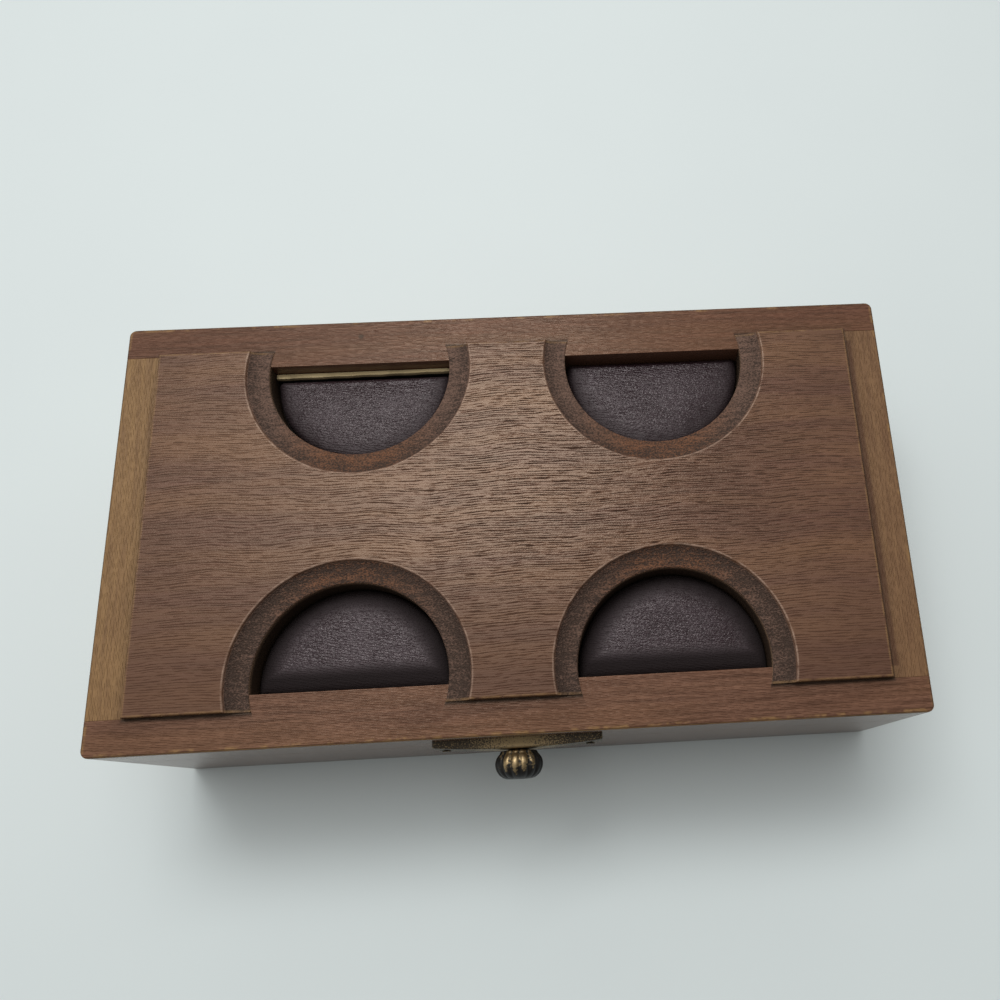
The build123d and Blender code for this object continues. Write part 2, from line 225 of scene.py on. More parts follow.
# Colours that come with a finish, and are no choice of their own.
WARM_LACQUER = to_linear("#f4e0ca")  # tints the gloss of the wood
COOL_DRESSING = to_linear("#f8eeef")  # tints the gloss of the leather
VELVET_SHADE = to_linear("#3c3019")  # between the tufts of the nap
BRASS_TARNISH = to_linear("#6d5230")
BRIGHT_ZINC = to_linear("#a8a8a4")
FELT_FIBRE = to_linear("#4d392c")
RAW_GRAIN = to_linear("#8d7552")
SHADE_BLACK_GRAIN = to_linear("#120e0c")
# painted shade low down on the packing strip, in the gap beside it
GAP_SHADE = to_linear("#120d0a")
FLOOR_MOTTLE = to_linear("#ced5d8")
DAYLIGHT = to_linear("#f6f5f2")

# The soft lights: the name of each and of its power in the settings, the way to it from the box, its size in
# metres, and whether it shows in reflections.
LIGHTS = (
    ("window_light", (-0.145, 0.38, 0.92), (0.54, 0.30), True),
    ("ceiling_light", (-0.05, 0.20, 0.97), (0.90, 0.85), False),
)
BRIGHT_SIDE = (-0.5, 0.8, 0.3)  # the way to the brightest part of the even light
FLOOR_WIDTH = 4
SENSOR_WIDTH = 36  # millimetres
CAMERA_SHIFT = (-0.12, 0.031)


# ----- Modelling helpers -----


def make_active(piece):
    bpy.ops.object.select_all(action="DESELECT")
    piece.select_set(True)
    bpy.context.view_layer.objects.active = piece


@contextmanager
def edit_mode(piece, pick="DESELECT"):
    """Edit one piece's mesh, with everything or nothing selected to begin with."""
    make_active(piece)
    bpy.ops.object.mode_set(mode="EDIT")
    bpy.ops.mesh.select_mode(type="VERT")
    bpy.ops.mesh.select_all(action=pick)
    yield bmesh.from_edit_mesh(piece.data)
    bpy.ops.object.mode_set(mode="OBJECT")


def pick_vertices(mesh, test):
    """Select the vertices whose place passes a test, with the edges and faces between them."""
    for vertex in mesh.verts:
        vertex.select_set(test(vertex.co))
    mesh.select_flush_mode()


def apply_modifier(piece, kind, **settings):
    modifier = piece.modifiers.new(kind.title(), kind)
    for name, value in settings.items():
        setattr(modifier, name, value)
    make_active(piece)
    bpy.ops.object.modifier_apply(modifier=modifier.name)


def add_block(name, low, high):
    """A closed block between two corners, with its place in its mesh."""
    low, high = Vector(low), Vector(high)
    bpy.ops.object.select_all(action="DESELECT")
    bpy.ops.mesh.primitive_cube_add(size=1, location=(low + high) / 2)
    piece = bpy.context.object
    piece.name = name
    piece.scale = high - low
    bpy.ops.object.transform_apply(location=True, rotation=True, scale=True)
    return piece


def lathe(name, outline, steps):
    """Spin an outline of (radius, height) points round the Z axis into a closed solid."""
    mesh = bpy.data.meshes.new(name)
    edges = [(i, i + 1) for i in range(len(outline) - 1)]
    mesh.from_pydata([(radius, 0, height) for radius, height in outline], edges, [])
    piece = bpy.data.objects.new(name, mesh)
    bpy.context.collection.objects.link(piece)
    with edit_mode(piece, "SELECT"):
        bpy.ops.mesh.spin(steps=steps, angle=math.tau, center=(0, 0, 0), axis=(0, 0, 1))
        bpy.ops.mesh.select_all(action="SELECT")
        bpy.ops.mesh.remove_doubles(threshold=MM / 1000)
        bpy.ops.mesh.normals_make_consistent(inside=False)
    return piece


def round_corners(piece, axis, radius):
    """Round the corner edges of a block that run along one axis."""
    with edit_mode(piece) as mesh:
        for edge in mesh.edges:
            start, end = (getattr(vertex.co, axis) for vertex in edge.verts)
            edge.select_set(abs(start - end) > MM / 2)
        bpy.ops.mesh.bevel(offset=radius, segments=4, affect="EDGES")


def bevel_where(piece, test, width, segments):
    """Bevel the edges between the vertices whose place passes a test."""
    with edit_mode(piece) as mesh:
        pick_vertices(mesh, test)
        bpy.ops.mesh.bevel(offset=width, segments=segments, affect="EDGES")


def slice_along(piece, low_x, high_x, columns):
    """Cut a piece's faces into columns of equal width, so that its edge can bend."""
    for index in range(1, columns):
        with edit_mode(piece, "SELECT"):
            x = low_x + (high_x - low_x) * index / columns
            bpy.ops.mesh.bisect(plane_co=(x, 0, 0), plane_no=(1, 0, 0))


def arc(centre, size, start, end, steps):
    """Points on an ellipse's arc, from one angle to another in degrees."""
    angles = [math.radians(start + (end - start) * i / steps) for i in range(steps + 1)]
    return [(centre[0] + size[0] * math.cos(a), centre[1] + size[1] * math.sin(a)) for a in angles]


def place(piece, move):
    """Move, turn or scale a finished mesh, leaving its object at the origin."""
    piece.data.transform(move)
    piece.data.update()


def combine(piece, other, operation):
    """Join another solid to a piece, or cut it away, and use it up."""
    apply_modifier(piece, "BOOLEAN", operation=operation, solver="EXACT", object=other)
    bpy.data.objects.remove(other)


def smooth_by_angle(piece, degrees=35):
    make_active(piece)
    bpy.ops.object.shade_smooth_by_angle(angle=math.radians(degrees))
    apply_modifier(piece, "WEIGHTED_NORMAL", keep_sharp=True)


def copy_node(node):
    """A merged copy of a CAD node's mesh, with its flat faces whole again."""
    source = frame["nodes"][node]
    piece = source.copy()
    piece.data = source.data.copy()
    piece.name = piece.data.name = node + "_finished"
    bpy.context.collection.objects.link(piece)
    piece.data.materials.clear()
    with edit_mode(piece, "SELECT"):
        bpy.ops.mesh.remove_doubles(threshold=MM / 1000)
        bpy.ops.mesh.dissolve_limited(angle_limit=math.radians(0.5))
    return piece


def eased_copy(node, width, segments=2):
    """A copy of a CAD node with its sharp edges eased."""
    piece = copy_node(node)
    apply_modifier(
        piece, "BEVEL", width=width, segments=segments, limit_method="ANGLE", angle_limit=math.radians(40),
        miter_outer="MITER_SHARP",
    )
    smooth_by_angle(piece)
    return piece


def body_of(node):
    """The body that a CAD node rides on."""
    bodies = frame["record"]["behaviour"]["bodies"]
    return next(body for body, members in bodies.items() if node in members)


def dress(piece, node, material):
    """Give a piece its material, and let it stand for a CAD node on the node's own body."""
    piece.data.materials.clear()
    piece.data.materials.append(material)
    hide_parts(node)
    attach(piece, body_of(node))


def dress_copies(nodes, width, material, segments=2):
    """Ease a copy of each of some CAD nodes, and let it stand for its node."""
    for node in nodes:
        dress(eased_copy(node, width, segments), node, material)


# ----- Material helpers -----


def connect(node, inputs):
    """Give a node's inputs their values or links."""
    for key, value in inputs.items():
        if isinstance(value, bpy.types.NodeSocket):
            node.id_data.links.new(value, node.inputs[key])
        else:
            node.inputs[key].default_value = value


def add_node(tree, kind, inputs, output=0, **settings):
    """Add a shader node with its settings, values and links, and return one of its outputs."""
    made = tree.nodes.new("ShaderNode" + kind)
    for name, value in settings.items():
        setattr(made, name, value)
    connect(made, inputs)
    return made.outputs[output]


def new_material(name):
    """An empty material, with what adds its nodes, its Object coordinates and its shader."""
    material = bpy.data.materials.new(name)
    material.use_nodes = True
    tree = material.node_tree
    tree.nodes.clear()
    shader = tree.nodes.new("ShaderNodeBsdfPrincipled")
    output = tree.nodes.new("ShaderNodeOutputMaterial")
    tree.links.new(shader.outputs["BSDF"], output.inputs["Surface"])
    add = partial(add_node, tree)
    return material, add, add("TexCoord", {}, "Object"), shader


def sized_noise(add, place_socket, sizes, offset=(0, 0, 0), detail=2.0):
    """Noise whose features have the given sizes along X, Y and Z."""
    scale = [1 / size for size in sizes]
    moved = add("Mapping", {"Vector": place_socket, "Location": offset, "Scale": scale})
    return add("TexNoise", {"Vector": moved, "Scale": 1.0, "Detail": detail})


def inside_of(add, coordinate, limit):
    """How far a coordinate is inside a limit that lies on both sides of the middle."""
    from_middle = add("Math", {0: coordinate}, operation="ABSOLUTE")
    return add("Math", {0: limit, 1: from_middle}, operation="SUBTRACT")


def coat(add, colour, over, mask, start, end, most=1.0):
    """Lay a colour over another where a mask passes from start to end, as thickly as most says."""
    cover = add("MapRange", {"Value": mask, "From Min": start, "From Max": end, "To Max": most})
    return add("Mix", {0: cover, 6: colour, 7: over}, **COLOURS)


def overlap(add, first, *others):
    """Where several masks hold together."""
    for mask in others:
        first = add("Math", {0: first, 1: mask}, operation="MULTIPLY")
    return first


# ----- Wood -----


def distance_to_arris(add, axes):
    """How far a point on a wall is from the box's nearest outer arris, and how deep it is under the faces."""
    from_end = inside_of(add, axes["X"], half_box.x)
    from_side = inside_of(add, axes["Y"], half_box.y)
    from_top = add("Math", {0: rail_top, 1: axes["Z"]}, operation="SUBTRACT")
    nearer = add("Math", {0: from_end, 1: from_side}, operation="MINIMUM")
    farther = add("Math", {0: from_end, 1: from_side}, operation="MAXIMUM")
    lower = add("Math", {0: farther, 1: from_top}, operation="MINIMUM")
    deep = add("Math", {0: nearer, 1: from_top}, operation="MINIMUM")
    return add("Math", {0: nearer, 1: lower}, operation="MAXIMUM"), deep


def distance_to_window(add, axes, panel):
    """How far a point on the panel is from the middle of the nearest window."""
    across = inside_of(add, axes["X"], panel.window_x)
    along = inside_of(add, axes["Y"], panel.window_y)
    return add("VectorMath", {0: add("CombineXYZ", {"X": across, "Y": along})}, "Value", operation="LENGTH")


def distance_to_panel_edge(add, axes):
    """How far a point is inside the panel's nearest straight edge, or less than nothing outside it."""
    from_end = inside_of(add, axes["X"], panel_high.x)
    from_side = inside_of(add, axes["Y"], panel_high.y)
    return add("Math", {0: from_end, 1: from_side}, operation="MINIMUM")


def wandering_grain(add, spot, along_x, offset, reach):
    """Object coordinates that drift slowly from side to side, as the grain does."""
    wander = sized_noise(add, spot, (30 * MM,) * 3, offset, 1.0)
    drift = add("Math", {0: wander, 1: reach}, operation="MULTIPLY")
    shift = add("CombineXYZ", {"Y" if along_x else "X": drift})
    return add("VectorMath", {0: spot, 1: shift}, operation="ADD")


def foot_shadow_and_marks(add, spot, axes, on_top, colour):
    """Painted shadow along the foot of the raised panel, a darker strip past its right edge, and one small
    burn.
    """
    wood, panel = bpy.context.scene.box_wood, bpy.context.scene.box_panel
    burn = (-38.8 * MM, 51.0 * MM, rail_top)
    from_panel = distance_to_panel_edge(add, axes)
    # Painted shadow: a dark line and a broad haze on the walls along the foot of the raised panel, where its
    # shadow falls.
    narrow = {"From Min": -1.3 * MM, "From Max": -0.4 * MM, "To Max": 0.85}
    broad = {"From Min": -4.0 * MM, "From Max": -0.5 * MM, "To Max": 0.22}
    shadow_line, haze = [add("MapRange", {"Value": from_panel, **band}) for band in (narrow, broad)]
    grime_and_shade = add("Math", {0: shadow_line, 1: haze}, operation="MAXIMUM")
    outside = add("Math", {0: from_panel, 1: 0.05 * MM}, operation="LESS_THAN")
    from_window = distance_to_window(add, axes, panel)
    beside = add("Math", {0: from_window, 1: panel.window_radius}, operation="GREATER_THAN")
    # A darker strip on the side wall beside the panel's right edge.
    right_edge = {"From Min": panel_high.x + 2.4 * MM, "From Max": panel_high.x + 1.7 * MM, "To Max": 0.75}
    right_strip = add("MapRange", {"Value": axes["X"], **right_edge})
    from_middle = add("Math", {0: axes["Y"]}, operation="ABSOLUTE")
    between = add("Math", {0: from_middle, 1: inner_y + 1.2 * MM}, operation="LESS_THAN")
    to_right = add("Math", {0: axes["X"], 1: panel_high.x - MM}, operation="GREATER_THAN")
    right_strip = overlap(add, right_strip, between, to_right, on_top)
    colour = add("Mix", {0: right_strip, 6: colour, 7: wood.deep_stain_and_shade}, **COLOURS)
    from_burn = add("VectorMath", {0: spot, 1: burn}, "Value", operation="DISTANCE")
    colour = coat(add, colour, wood.grime_and_shade, from_burn, 1.0 * MM, 0.4 * MM, 0.8)
    return add("Mix", {0: overlap(add, grime_and_shade, on_top, outside, beside), 6: colour, 7: wood.grime_and_shade}, **COLOURS)


def pore_lines(add, grain, path, along_x, fineness):
    """Fine lines that run with the grain in ripples, and the dashes of open pore along them."""
    wood = bpy.context.scene.box_wood
    squeeze = (1 / 10, 1, 1) if along_x else (1, 1 / 10, 1)
    tilt = (math.radians(35), 0, 0) if along_x else (0, math.radians(35), 0)
    lines = {
        "Vector": add("Mapping", {"Vector": path, "Rotation": tilt, "Scale": squeeze}),
        "Scale": BAND_SPACING / (wood.pore_spacing * fineness),
        "Distortion": 7.5 * fineness**2,
        "Detail": 3.0,
        "Detail Scale": 1.4,
        "Detail Roughness": 0.6,
    }
    ripples = add("TexWave", lines, "Fac", bands_direction="Y" if along_x else "X")
    troughs = add("MapRange", {"Value": ripples, "From Min": 0.34, "From Max": 0.02}, **EASED)
    breaks = grain(wood.pore_length * fineness, wood.pore_width * fineness, 2.0)
    dashes = add("MapRange", {"Value": breaks, "From Min": 0.38, "From Max": 0.6}, **EASED)
    return ripples, add("Math", {0: troughs, 1: dashes}, operation="MULTIPLY")


def wood_figure(add, grain, spot, stain, offset, gold, streaky):
    """The stained colour: streaks along the grain, slow bands and blotches where the stain soaked in."""
    wood = bpy.context.scene.box_wood
    streaks, bands = grain(16 * MM, 0.9 * MM, 3.0), grain(90 * MM, 9 * MM, 3.0)
    blotches = sized_noise(add, spot, (26 * MM,) * 3, offset, 3.0)
    colour = coat(add, stain, wood.deep_stain_and_shade, streaks, 0.35, 0.7, streaky)
    colour = coat(add, colour, wood.golden, bands, 0.42, 0.62, gold)
    return coat(add, colour, wood.deep_stain_and_shade, blotches, 0.45, 0.75, 0.8 * gold)


def routed_coves(add, axes, grain, rub, speckle, colour, roughness, relief):
    """Give the panel's coves their rough dark colour, burnished in places and painted darker on their steep
    outer part as shade, with a painted highlight along the rim.

    The new colour, roughness and relief come back with a mask of the sawn sides inside the windows.
    """
    wood, panel = bpy.context.scene.box_wood, bpy.context.scene.box_panel
    rim = panel.cove_radius
    from_window = distance_to_window(add, axes, panel)
    # Painted shade: the panel grows darker towards the front.
    colour = coat(add, colour, wood.deep_stain_and_shade, axes["Y"], -5 * MM, -55 * MM, 0.7)
    routed = add(
        "MapRange", {"Value": from_window, "From Min": rim + 0.1 * MM, "From Max": rim - 0.3 * MM}, **EASED
    )
    grit = {"From Min": 0.35, "From Max": 0.65, "To Min": -0.3, "To Max": 0.3}
    grit = add("MapRange", {"Value": speckle, **grit})
    mottle = add("Math", {0: grain(4.5 * MM, 0.8 * MM, 5.0), 1: grit}, operation="ADD")
    # The cove is also darker towards the front.
    to_rear = {"From Min": -30 * MM, "From Max": 30 * MM, "To Min": -0.2, "To Max": 0.05}
    darker_to_front = add("MapRange", {"Value": axes["Y"], **to_rear})
    # Painted shade: the cove is painted darker on its steep outer part and lighter inward; the mottle is the
    # wood's own.
    inward = add("MapRange", {"Value": from_window, "From Min": rim - MM, "From Max": rim - 4 * MM}, **EASED)
    lit_and_mottled = add("Math", {0: inward, 1: 0.2, 2: mottle}, operation="MULTIPLY_ADD")
    lit_and_mottled = add("Math", {0: lit_and_mottled, 1: darker_to_front}, operation="ADD")
    beside = add("Math", {0: inside_of(add, axes["X"], panel.window_x)}, operation="ABSOLUTE")
    burnished = coat(add, wood.burnished_cove, wood.end_grain, beside, 8 * MM, 22 * MM)
    cove = coat(add, wood.cove, burnished, lit_and_mottled, 0.35, 1.0)
    colour = add("Mix", {0: routed, 6: colour, 7: cove}, **COLOURS)
    # Painted highlight: a pale line along the rounded rim of each cove, broken up by the rubbing noise.
    past_rim = add("Math", {0: from_window, 1: rim + 0.25 * MM}, operation="SUBTRACT")
    from_rim = add("Math", {0: past_rim}, operation="ABSOLUTE")
    rim_highlight = {"From Min": 0.35 * MM, "From Max": 0.05 * MM, "To Max": 0.7}
    rim_highlight = add("MapRange", {"Value": from_rim, **rim_highlight})
    highlight_breakup = add("MapRange", {"Value": rub, "From Min": 0.35, "From Max": 0.65, "To Min": 0.1})
    rim_highlight_amount = add("Math", {0: rim_highlight, 1: highlight_breakup}, operation="MULTIPLY")
    colour = add("Mix", {0: rim_highlight_amount, 6: colour, 7: wood.rim}, **COLOURS)
    roughness = add("Mix", {0: routed, 2: roughness, 3: 0.6}, **NUMBERS)
    tool_marks = add("Math", {0: speckle, 1: 4.0}, operation="MULTIPLY")
    relief = add("Mix", {0: routed, 2: relief, 3: tool_marks}, **NUMBERS)
    sawn = add("Math", {0: from_window, 1: panel.window_radius + 0.04 * MM}, operation="LESS_THAN")
    return colour, roughness, relief, sawn


def wall_faces(add, spot, axes, along_x, colour, roughness, relief):
    """Make the walls' upright faces smoother than their tops, and give their tops the panel's painted shadow
    and their marks.

    The new colour, roughness and relief come back with a mask of the faces inside the box.
    """
    upright = {"From Min": rail_top - 1.5 * MM, "From Max": rail_top - 0.3 * MM}
    on_top = add("MapRange", {"Value": axes["Z"], **upright})
    roughness = add("Mix", {0: on_top, 2: 0.24, 3: roughness}, **NUMBERS)
    planed = add("MapRange", {"Value": on_top, "To Min": 0.25, "To Max": 1.0})
    relief = add("Math", {0: relief, 1: planed}, operation="MULTIPLY")
    from_middle = add("Math", {0: axes["Y" if along_x else "X"]}, operation="ABSOLUTE")
    wall_inside = (inner_y if along_x else inner_x) + 0.1 * MM
    inside = add("Math", {0: from_middle, 1: wall_inside}, operation="LESS_THAN")
    return foot_shadow_and_marks(add, spot, axes, on_top, colour), roughness, relief, inside


def worn_arris(add, from_arris, deep, rub, colour, reach, shown, most):
    """Show bare wood along an arris that handling has worn, and a darker line and fresh chips on a wall's
    arris.

    The wear reaches in from the arris by reach, where the rubbing noise lies between the two values of shown.
    """
    wood = bpy.context.scene.box_wood
    near = add("MapRange", {"Value": from_arris, "From Min": reach, "From Max": reach / 2}, **EASED)
    rubbed = add("MapRange", {"Value": rub, "From Min": shown[0], "From Max": shown[1], "To Max": most})
    worn = add("Math", {0: near, 1: rubbed}, operation="MULTIPLY")
    colour = add("Mix", {0: worn, 6: colour, 7: wood.worn}, **COLOURS)
    if deep is not None:
        # A darker line along the wall's outer arris.
        colour = coat(add, colour, wood.grime_and_shade, from_arris, 0.5 * MM, 0.25 * MM, 0.7)
        cut = add("MapRange", {"Value": deep, "From Min": 0.07 * MM, "From Max": 0.13 * MM})
        beside = add("Math", {0: from_arris, 1: 1.5 * MM}, operation="LESS_THAN")
        chip = add("Math", {0: cut, 1: beside}, operation="MULTIPLY")
        colour = add("Mix", {0: chip, 6: colour, 7: wood.worn}, **COLOURS)
    return colour


def stained_wood(name, along_x, stain, offset, coarseness, darkness, panel=None):
    """Stained open-pored hardwood under a thin, rubbed lacquer.

    The eye gets fine dark pores along the grain, sunk in a soft sheen, slow bands of figure, and arrises
    where handling has worn through the stain. The routed coves of a panel are darker, partly as painted
    shade, and rougher. The coarseness is how deep the pores' relief goes, and the darkness how dark the pores
    are, 1 at most.
    """
    wood = bpy.context.scene.box_wood
    material, add, spot, shader = new_material(name)
    axes = add("SeparateXYZ", {0: spot}, "X").node.outputs
    path = wandering_grain(add, spot, along_x, offset, 4 * MM if panel else 1.2 * MM)

    def grain(along, across, detail):
        sizes = (along, across, across) if along_x else (across, along, across)
        return sized_noise(add, path, sizes, offset, detail)

    ripples, pores = pore_lines(add, grain, path, along_x, 1.0 if panel else 0.6)
    if panel:
        sheen_and_polish_centre = (20 * MM, 12 * MM, panel_top)
        from_middle = add("VectorMath", {0: spot, 1: sheen_and_polish_centre}, "Value", operation="DISTANCE")
    else:
        from_middle = add("Math", {0: axes["X"]}, operation="ABSOLUTE")
    middle = add("MapRange", {"Value": from_middle, "From Min": 80 * MM, "From Max": 20 * MM})
    # Painted light: round the middle, where the light's sheen falls and shows them up, the pores are painted
    # darker; the lower roughness there is polish.
    if panel:
        stronger = add("MapRange", {"Value": middle, "To Min": 0.6, "To Max": 1.1})
        pores = add("Math", {0: pores, 1: stronger}, operation="MULTIPLY")
    gold = 0.6 if panel else 0.35 if along_x else 0.12
    colour = wood_figure(add, grain, spot, stain, offset, gold, 1.0 if along_x else 0.45)
    open_pores = add("Math", {0: pores, 1: darkness}, operation="MULTIPLY")
    colour = add("Mix", {0: open_pores, 6: colour, 7: wood.pore}, **COLOURS)
    speckle = sized_noise(add, spot, (0.5 * MM, 0.35 * MM, 0.35 * MM), offset, 3.0)
    rub = sized_noise(add, spot, (2.6 * MM,) * 3, offset, 4.0)
    polish = add("MapRange", {"Value": middle, "To Min": 0.36 if panel else 0.44, "To Max": 0.27})
    if panel:
        to_front = {"From Min": -12 * MM, "From Max": -40 * MM, "To Max": 0.2}
        duller = add("MapRange", {"Value": axes["Y"], **to_front})
        polish = add("Math", {0: polish, 1: duller}, operation="ADD")
    roughness = add("MapRange", {"Value": pores, "To Min": polish, "To Max": 0.85})
    depth = add("Math", {0: pores, 1: -1.0}, operation="MULTIPLY")
    relief = add("Math", {0: ripples, 1: 0.12, 2: depth}, operation="MULTIPLY_ADD")
    relief = add("Math", {0: speckle, 1: 0.35, 2: relief}, operation="MULTIPLY_ADD")
    finish = colour, roughness, relief
    if panel:
        colour, roughness, relief, hidden = routed_coves(add, axes, grain, rub, speckle, *finish)
        from_arris = distance_to_panel_edge(add, axes)
        colour = worn_arris(add, from_arris, None, rub, colour, 0.75 * MM, shown=(0.34, 0.56), most=0.45)
        sawn, shade_top, shade_foot, shade = wood.recess, rail_top + 0.2 * MM, rail_top - 1.6 * MM, 0.9
    else:
        colour, roughness, relief, hidden = wall_faces(add, spot, axes, along_x, *finish)
        from_arris, deep = distance_to_arris(add, axes)
        colour = worn_arris(add, from_arris, deep, rub, colour, 1.2 * MM, shown=(0.50, 0.64), most=0.75)
        sawn, shade_top, shade_foot, shade = wood.rail_stain, rail_top - 0.5 * MM, rail_top - 4.5 * MM, 0.3
    # Painted shade: the sawn sides inside the windows and the faces inside the box grow darker towards the
    # bottom.
    recess = coat(add, sawn, wood.grime_and_shade, axes["Z"], shade_top, shade_foot, shade)
    colour = add("Mix", {0: hidden, 6: colour, 7: recess}, **COLOURS)
    bump = add("Bump", {"Height": relief, "Distance": 0.28 * MM * coarseness, "Strength": 1.0})
    connect(shader, {"Base Color": colour, "Roughness": roughness, "Normal": bump})
    connect(shader, {"Specular IOR Level": 0.74 if panel else 0.5})
    shader.inputs["Specular Tint"].default_value = WARM_LACQUER
    return material


NICK_SHAPE = ((0.6, 1.8), (0.5, 1.1), (0.4, 0.8))  # the least and most that each axis is stretched


def nick_cutter(low, high, count, seed, size):
    """Small uneven lumps scattered along a line, to be cut away from an arris."""
    chance = random.Random(seed)
    lumps = []
    for index in range(count):
        spot = low.lerp(high, (index + chance.uniform(0.15, 0.85)) / count)
        bpy.ops.mesh.primitive_ico_sphere_add(subdivisions=2, radius=size, location=spot)
        lump = bpy.context.object
        lump.scale = [chance.uniform(*limits) for limits in NICK_SHAPE]
        lump.rotation_euler = [chance.uniform(0, math.pi) for _ in range(3)]
        lumps.append(lump)
    make_active(lumps[0])
    for lump in lumps:
        lump.select_set(True)
    if count > 1:
        bpy.ops.object.join()
    bpy.ops.object.transform_apply(location=True, rotation=True, scale=True)
    return bpy.context.object


def chip_wall(wall, along_x, side):
    """Knock small chips out of a lid wall's outer top arris, and one larger one at the front right."""
    clear_of_corner = 3 * MM
    if along_x:
        reach, place_y = half_box.x - clear_of_corner, side * half_box.y
        low, high = [Vector((x, place_y, rail_top)) for x in (-reach, reach)]
    else:
        reach, place_x = half_box.y - clear_of_corner, side * half_box.x
        low, high = [Vector((place_x, y, rail_top)) for y in (-reach, reach)]
    small = nick_cutter(low, high, count=9 if along_x else 5, seed=7 + side, size=0.25 * MM)
    combine(wall, small, "DIFFERENCE")
    if along_x and side < 0:
        low, high = [Vector((x, -half_box.y, rail_top)) for x in (68 * MM, 69 * MM)]
        large = nick_cutter(low, high, count=1, seed=4, size=0.65 * MM)
        combine(wall, large, "DIFFERENCE")
    smooth_by_angle(wall)


def window_cutter(panel):
    """The solid that one window takes out of the panel: the opening, the cove and their eased edges."""
    radius, ease = panel.window_radius, panel.arris
    lip = rail_top + panel.cove_lip
    top = panel_top
    cove_middle = (radius + ease, top - panel.rim)
    cove_size = (panel.cove_radius - radius - ease, top - panel.rim - lip)
    outline = [(0, panel_underside - MM), (radius, panel_underside - MM)]
    outline += arc((radius + ease, lip - ease), (ease, ease), 180, 90, 3)
    outline += arc(cove_middle, cove_size, -90, 0, 14)
    outline += arc((panel.cove_radius + panel.rim, top - panel.rim), (panel.rim, panel.rim), 180, 90, 4)
    outline += [(panel.cove_radius + panel.rim, top + MM), (0, top + MM)]
    return lathe("window_cutter", outline, steps=144)


def raised_panel():
    """The worn panel: a rabbeted board with four coved windows, nicked along its arrises."""
    panel = bpy.context.scene.box_panel
    piece = add_block("raised_panel_worn", (panel_low.x, panel_low.y, rail_top), panel_high)
    bevel_where(piece, lambda co: co.z > panel_top - MM / 10, panel.arris, segments=3)
    clearance = 0.1 * MM
    body_low = Vector((clearance - inner_x, clearance - inner_y, panel_underside))
    body_high = Vector((-body_low.x, -body_low.y, rail_top + MM))
    combine(piece, add_block("panel_body", body_low, body_high), "UNION")
    for x in (-panel.window_x, panel.window_x):
        for y in (-panel.window_y, panel.window_y):
            cutter = window_cutter(panel)
            place(cutter, Matrix.Translation((x, y, 0)))
            combine(piece, cutter, "DIFFERENCE")
    for seed, y in enumerate((panel_low.y, panel_high.y)):
        ends = [Vector((x, y, panel_top)) for x in (panel_low.x, panel_high.x)]
        combine(piece, nick_cutter(*ends, count=26, seed=seed, size=0.35 * MM), "DIFFERENCE")
    smooth_by_angle(piece)
    return piece


# ----- Padded pieces -----

PAD_ENLARGEMENT = 10  # cloth behaves best at cushion size, so pads are swollen at ten times their size
SWELLING_STEPS = 20  # frames of simulation
REAR_EDGE_ROLL = 0.7 * MM  # a rear pad turns down sharply at its straight edge
WELT_HEIGHT, WELT_FROM_EDGE, WELT_WIDTH = 0.35 * MM, 1.5 * MM, 0.6 * MM  # and has a low welt beside it
WADDING = {
    "quality": 6,
    "mass": 0.3,
    "tension_stiffness": 12,
    "compression_stiffness": 12,
    "bending_stiffness": 1.5,
    "use_pressure": True,
    "vertex_group_mass": "pinned",
}


def swell(piece, pinned_height, crown, voxel, pressure):
    """Swell a flat pad with simulated cloth: its lower part stays put and its top rises by crown at most."""
    low_z = min(vertex.co.z for vertex in piece.data.vertices)
    place(piece, Matrix.Scale(PAD_ENLARGEMENT, 4))
    apply_modifier(piece, "REMESH", mode="VOXEL", voxel_size=voxel * PAD_ENLARGEMENT)
    flat = [vertex.co.copy() for vertex in piece.data.vertices]
    pinned = piece.vertex_groups.new(name="pinned")
    pin_z = (low_z + pinned_height) * PAD_ENLARGEMENT
    pinned.add([i for i, co in enumerate(flat) if co.z < pin_z], 1.0, "REPLACE")
    cloth = piece.modifiers.new("Cloth", "CLOTH")
    for name, value in WADDING.items():
        setattr(cloth.settings, name, value)
    cloth.settings.uniform_pressure_force = pressure
    cloth.settings.effector_weights.gravity = 0
    scene = bpy.context.scene
    for step in range(SWELLING_STEPS):
        scene.frame_set(step + 1)
    make_active(piece)
    bpy.ops.object.modifier_apply(modifier=cloth.name)
    scene.frame_set(1)
    limit = crown * PAD_ENLARGEMENT
    for vertex, start in zip(piece.data.vertices, flat):
        move = vertex.co - start
        if move.length > limit:
            vertex.co = start + move * (limit / move.length)
    piece.vertex_groups.clear()
    place(piece, Matrix.Scale(1 / PAD_ENLARGEMENT, 4))
    apply_modifier(piece, "SUBSURF", levels=1, render_levels=1)
    make_active(piece)
    bpy.ops.object.shade_smooth()


def roll_drop(from_border, roll):
    """How far a rounded border has dropped at a distance from its edge."""
    return roll * (1 - math.sqrt(1 - min(1, max(0, 1 - from_border / roll)) ** 2))


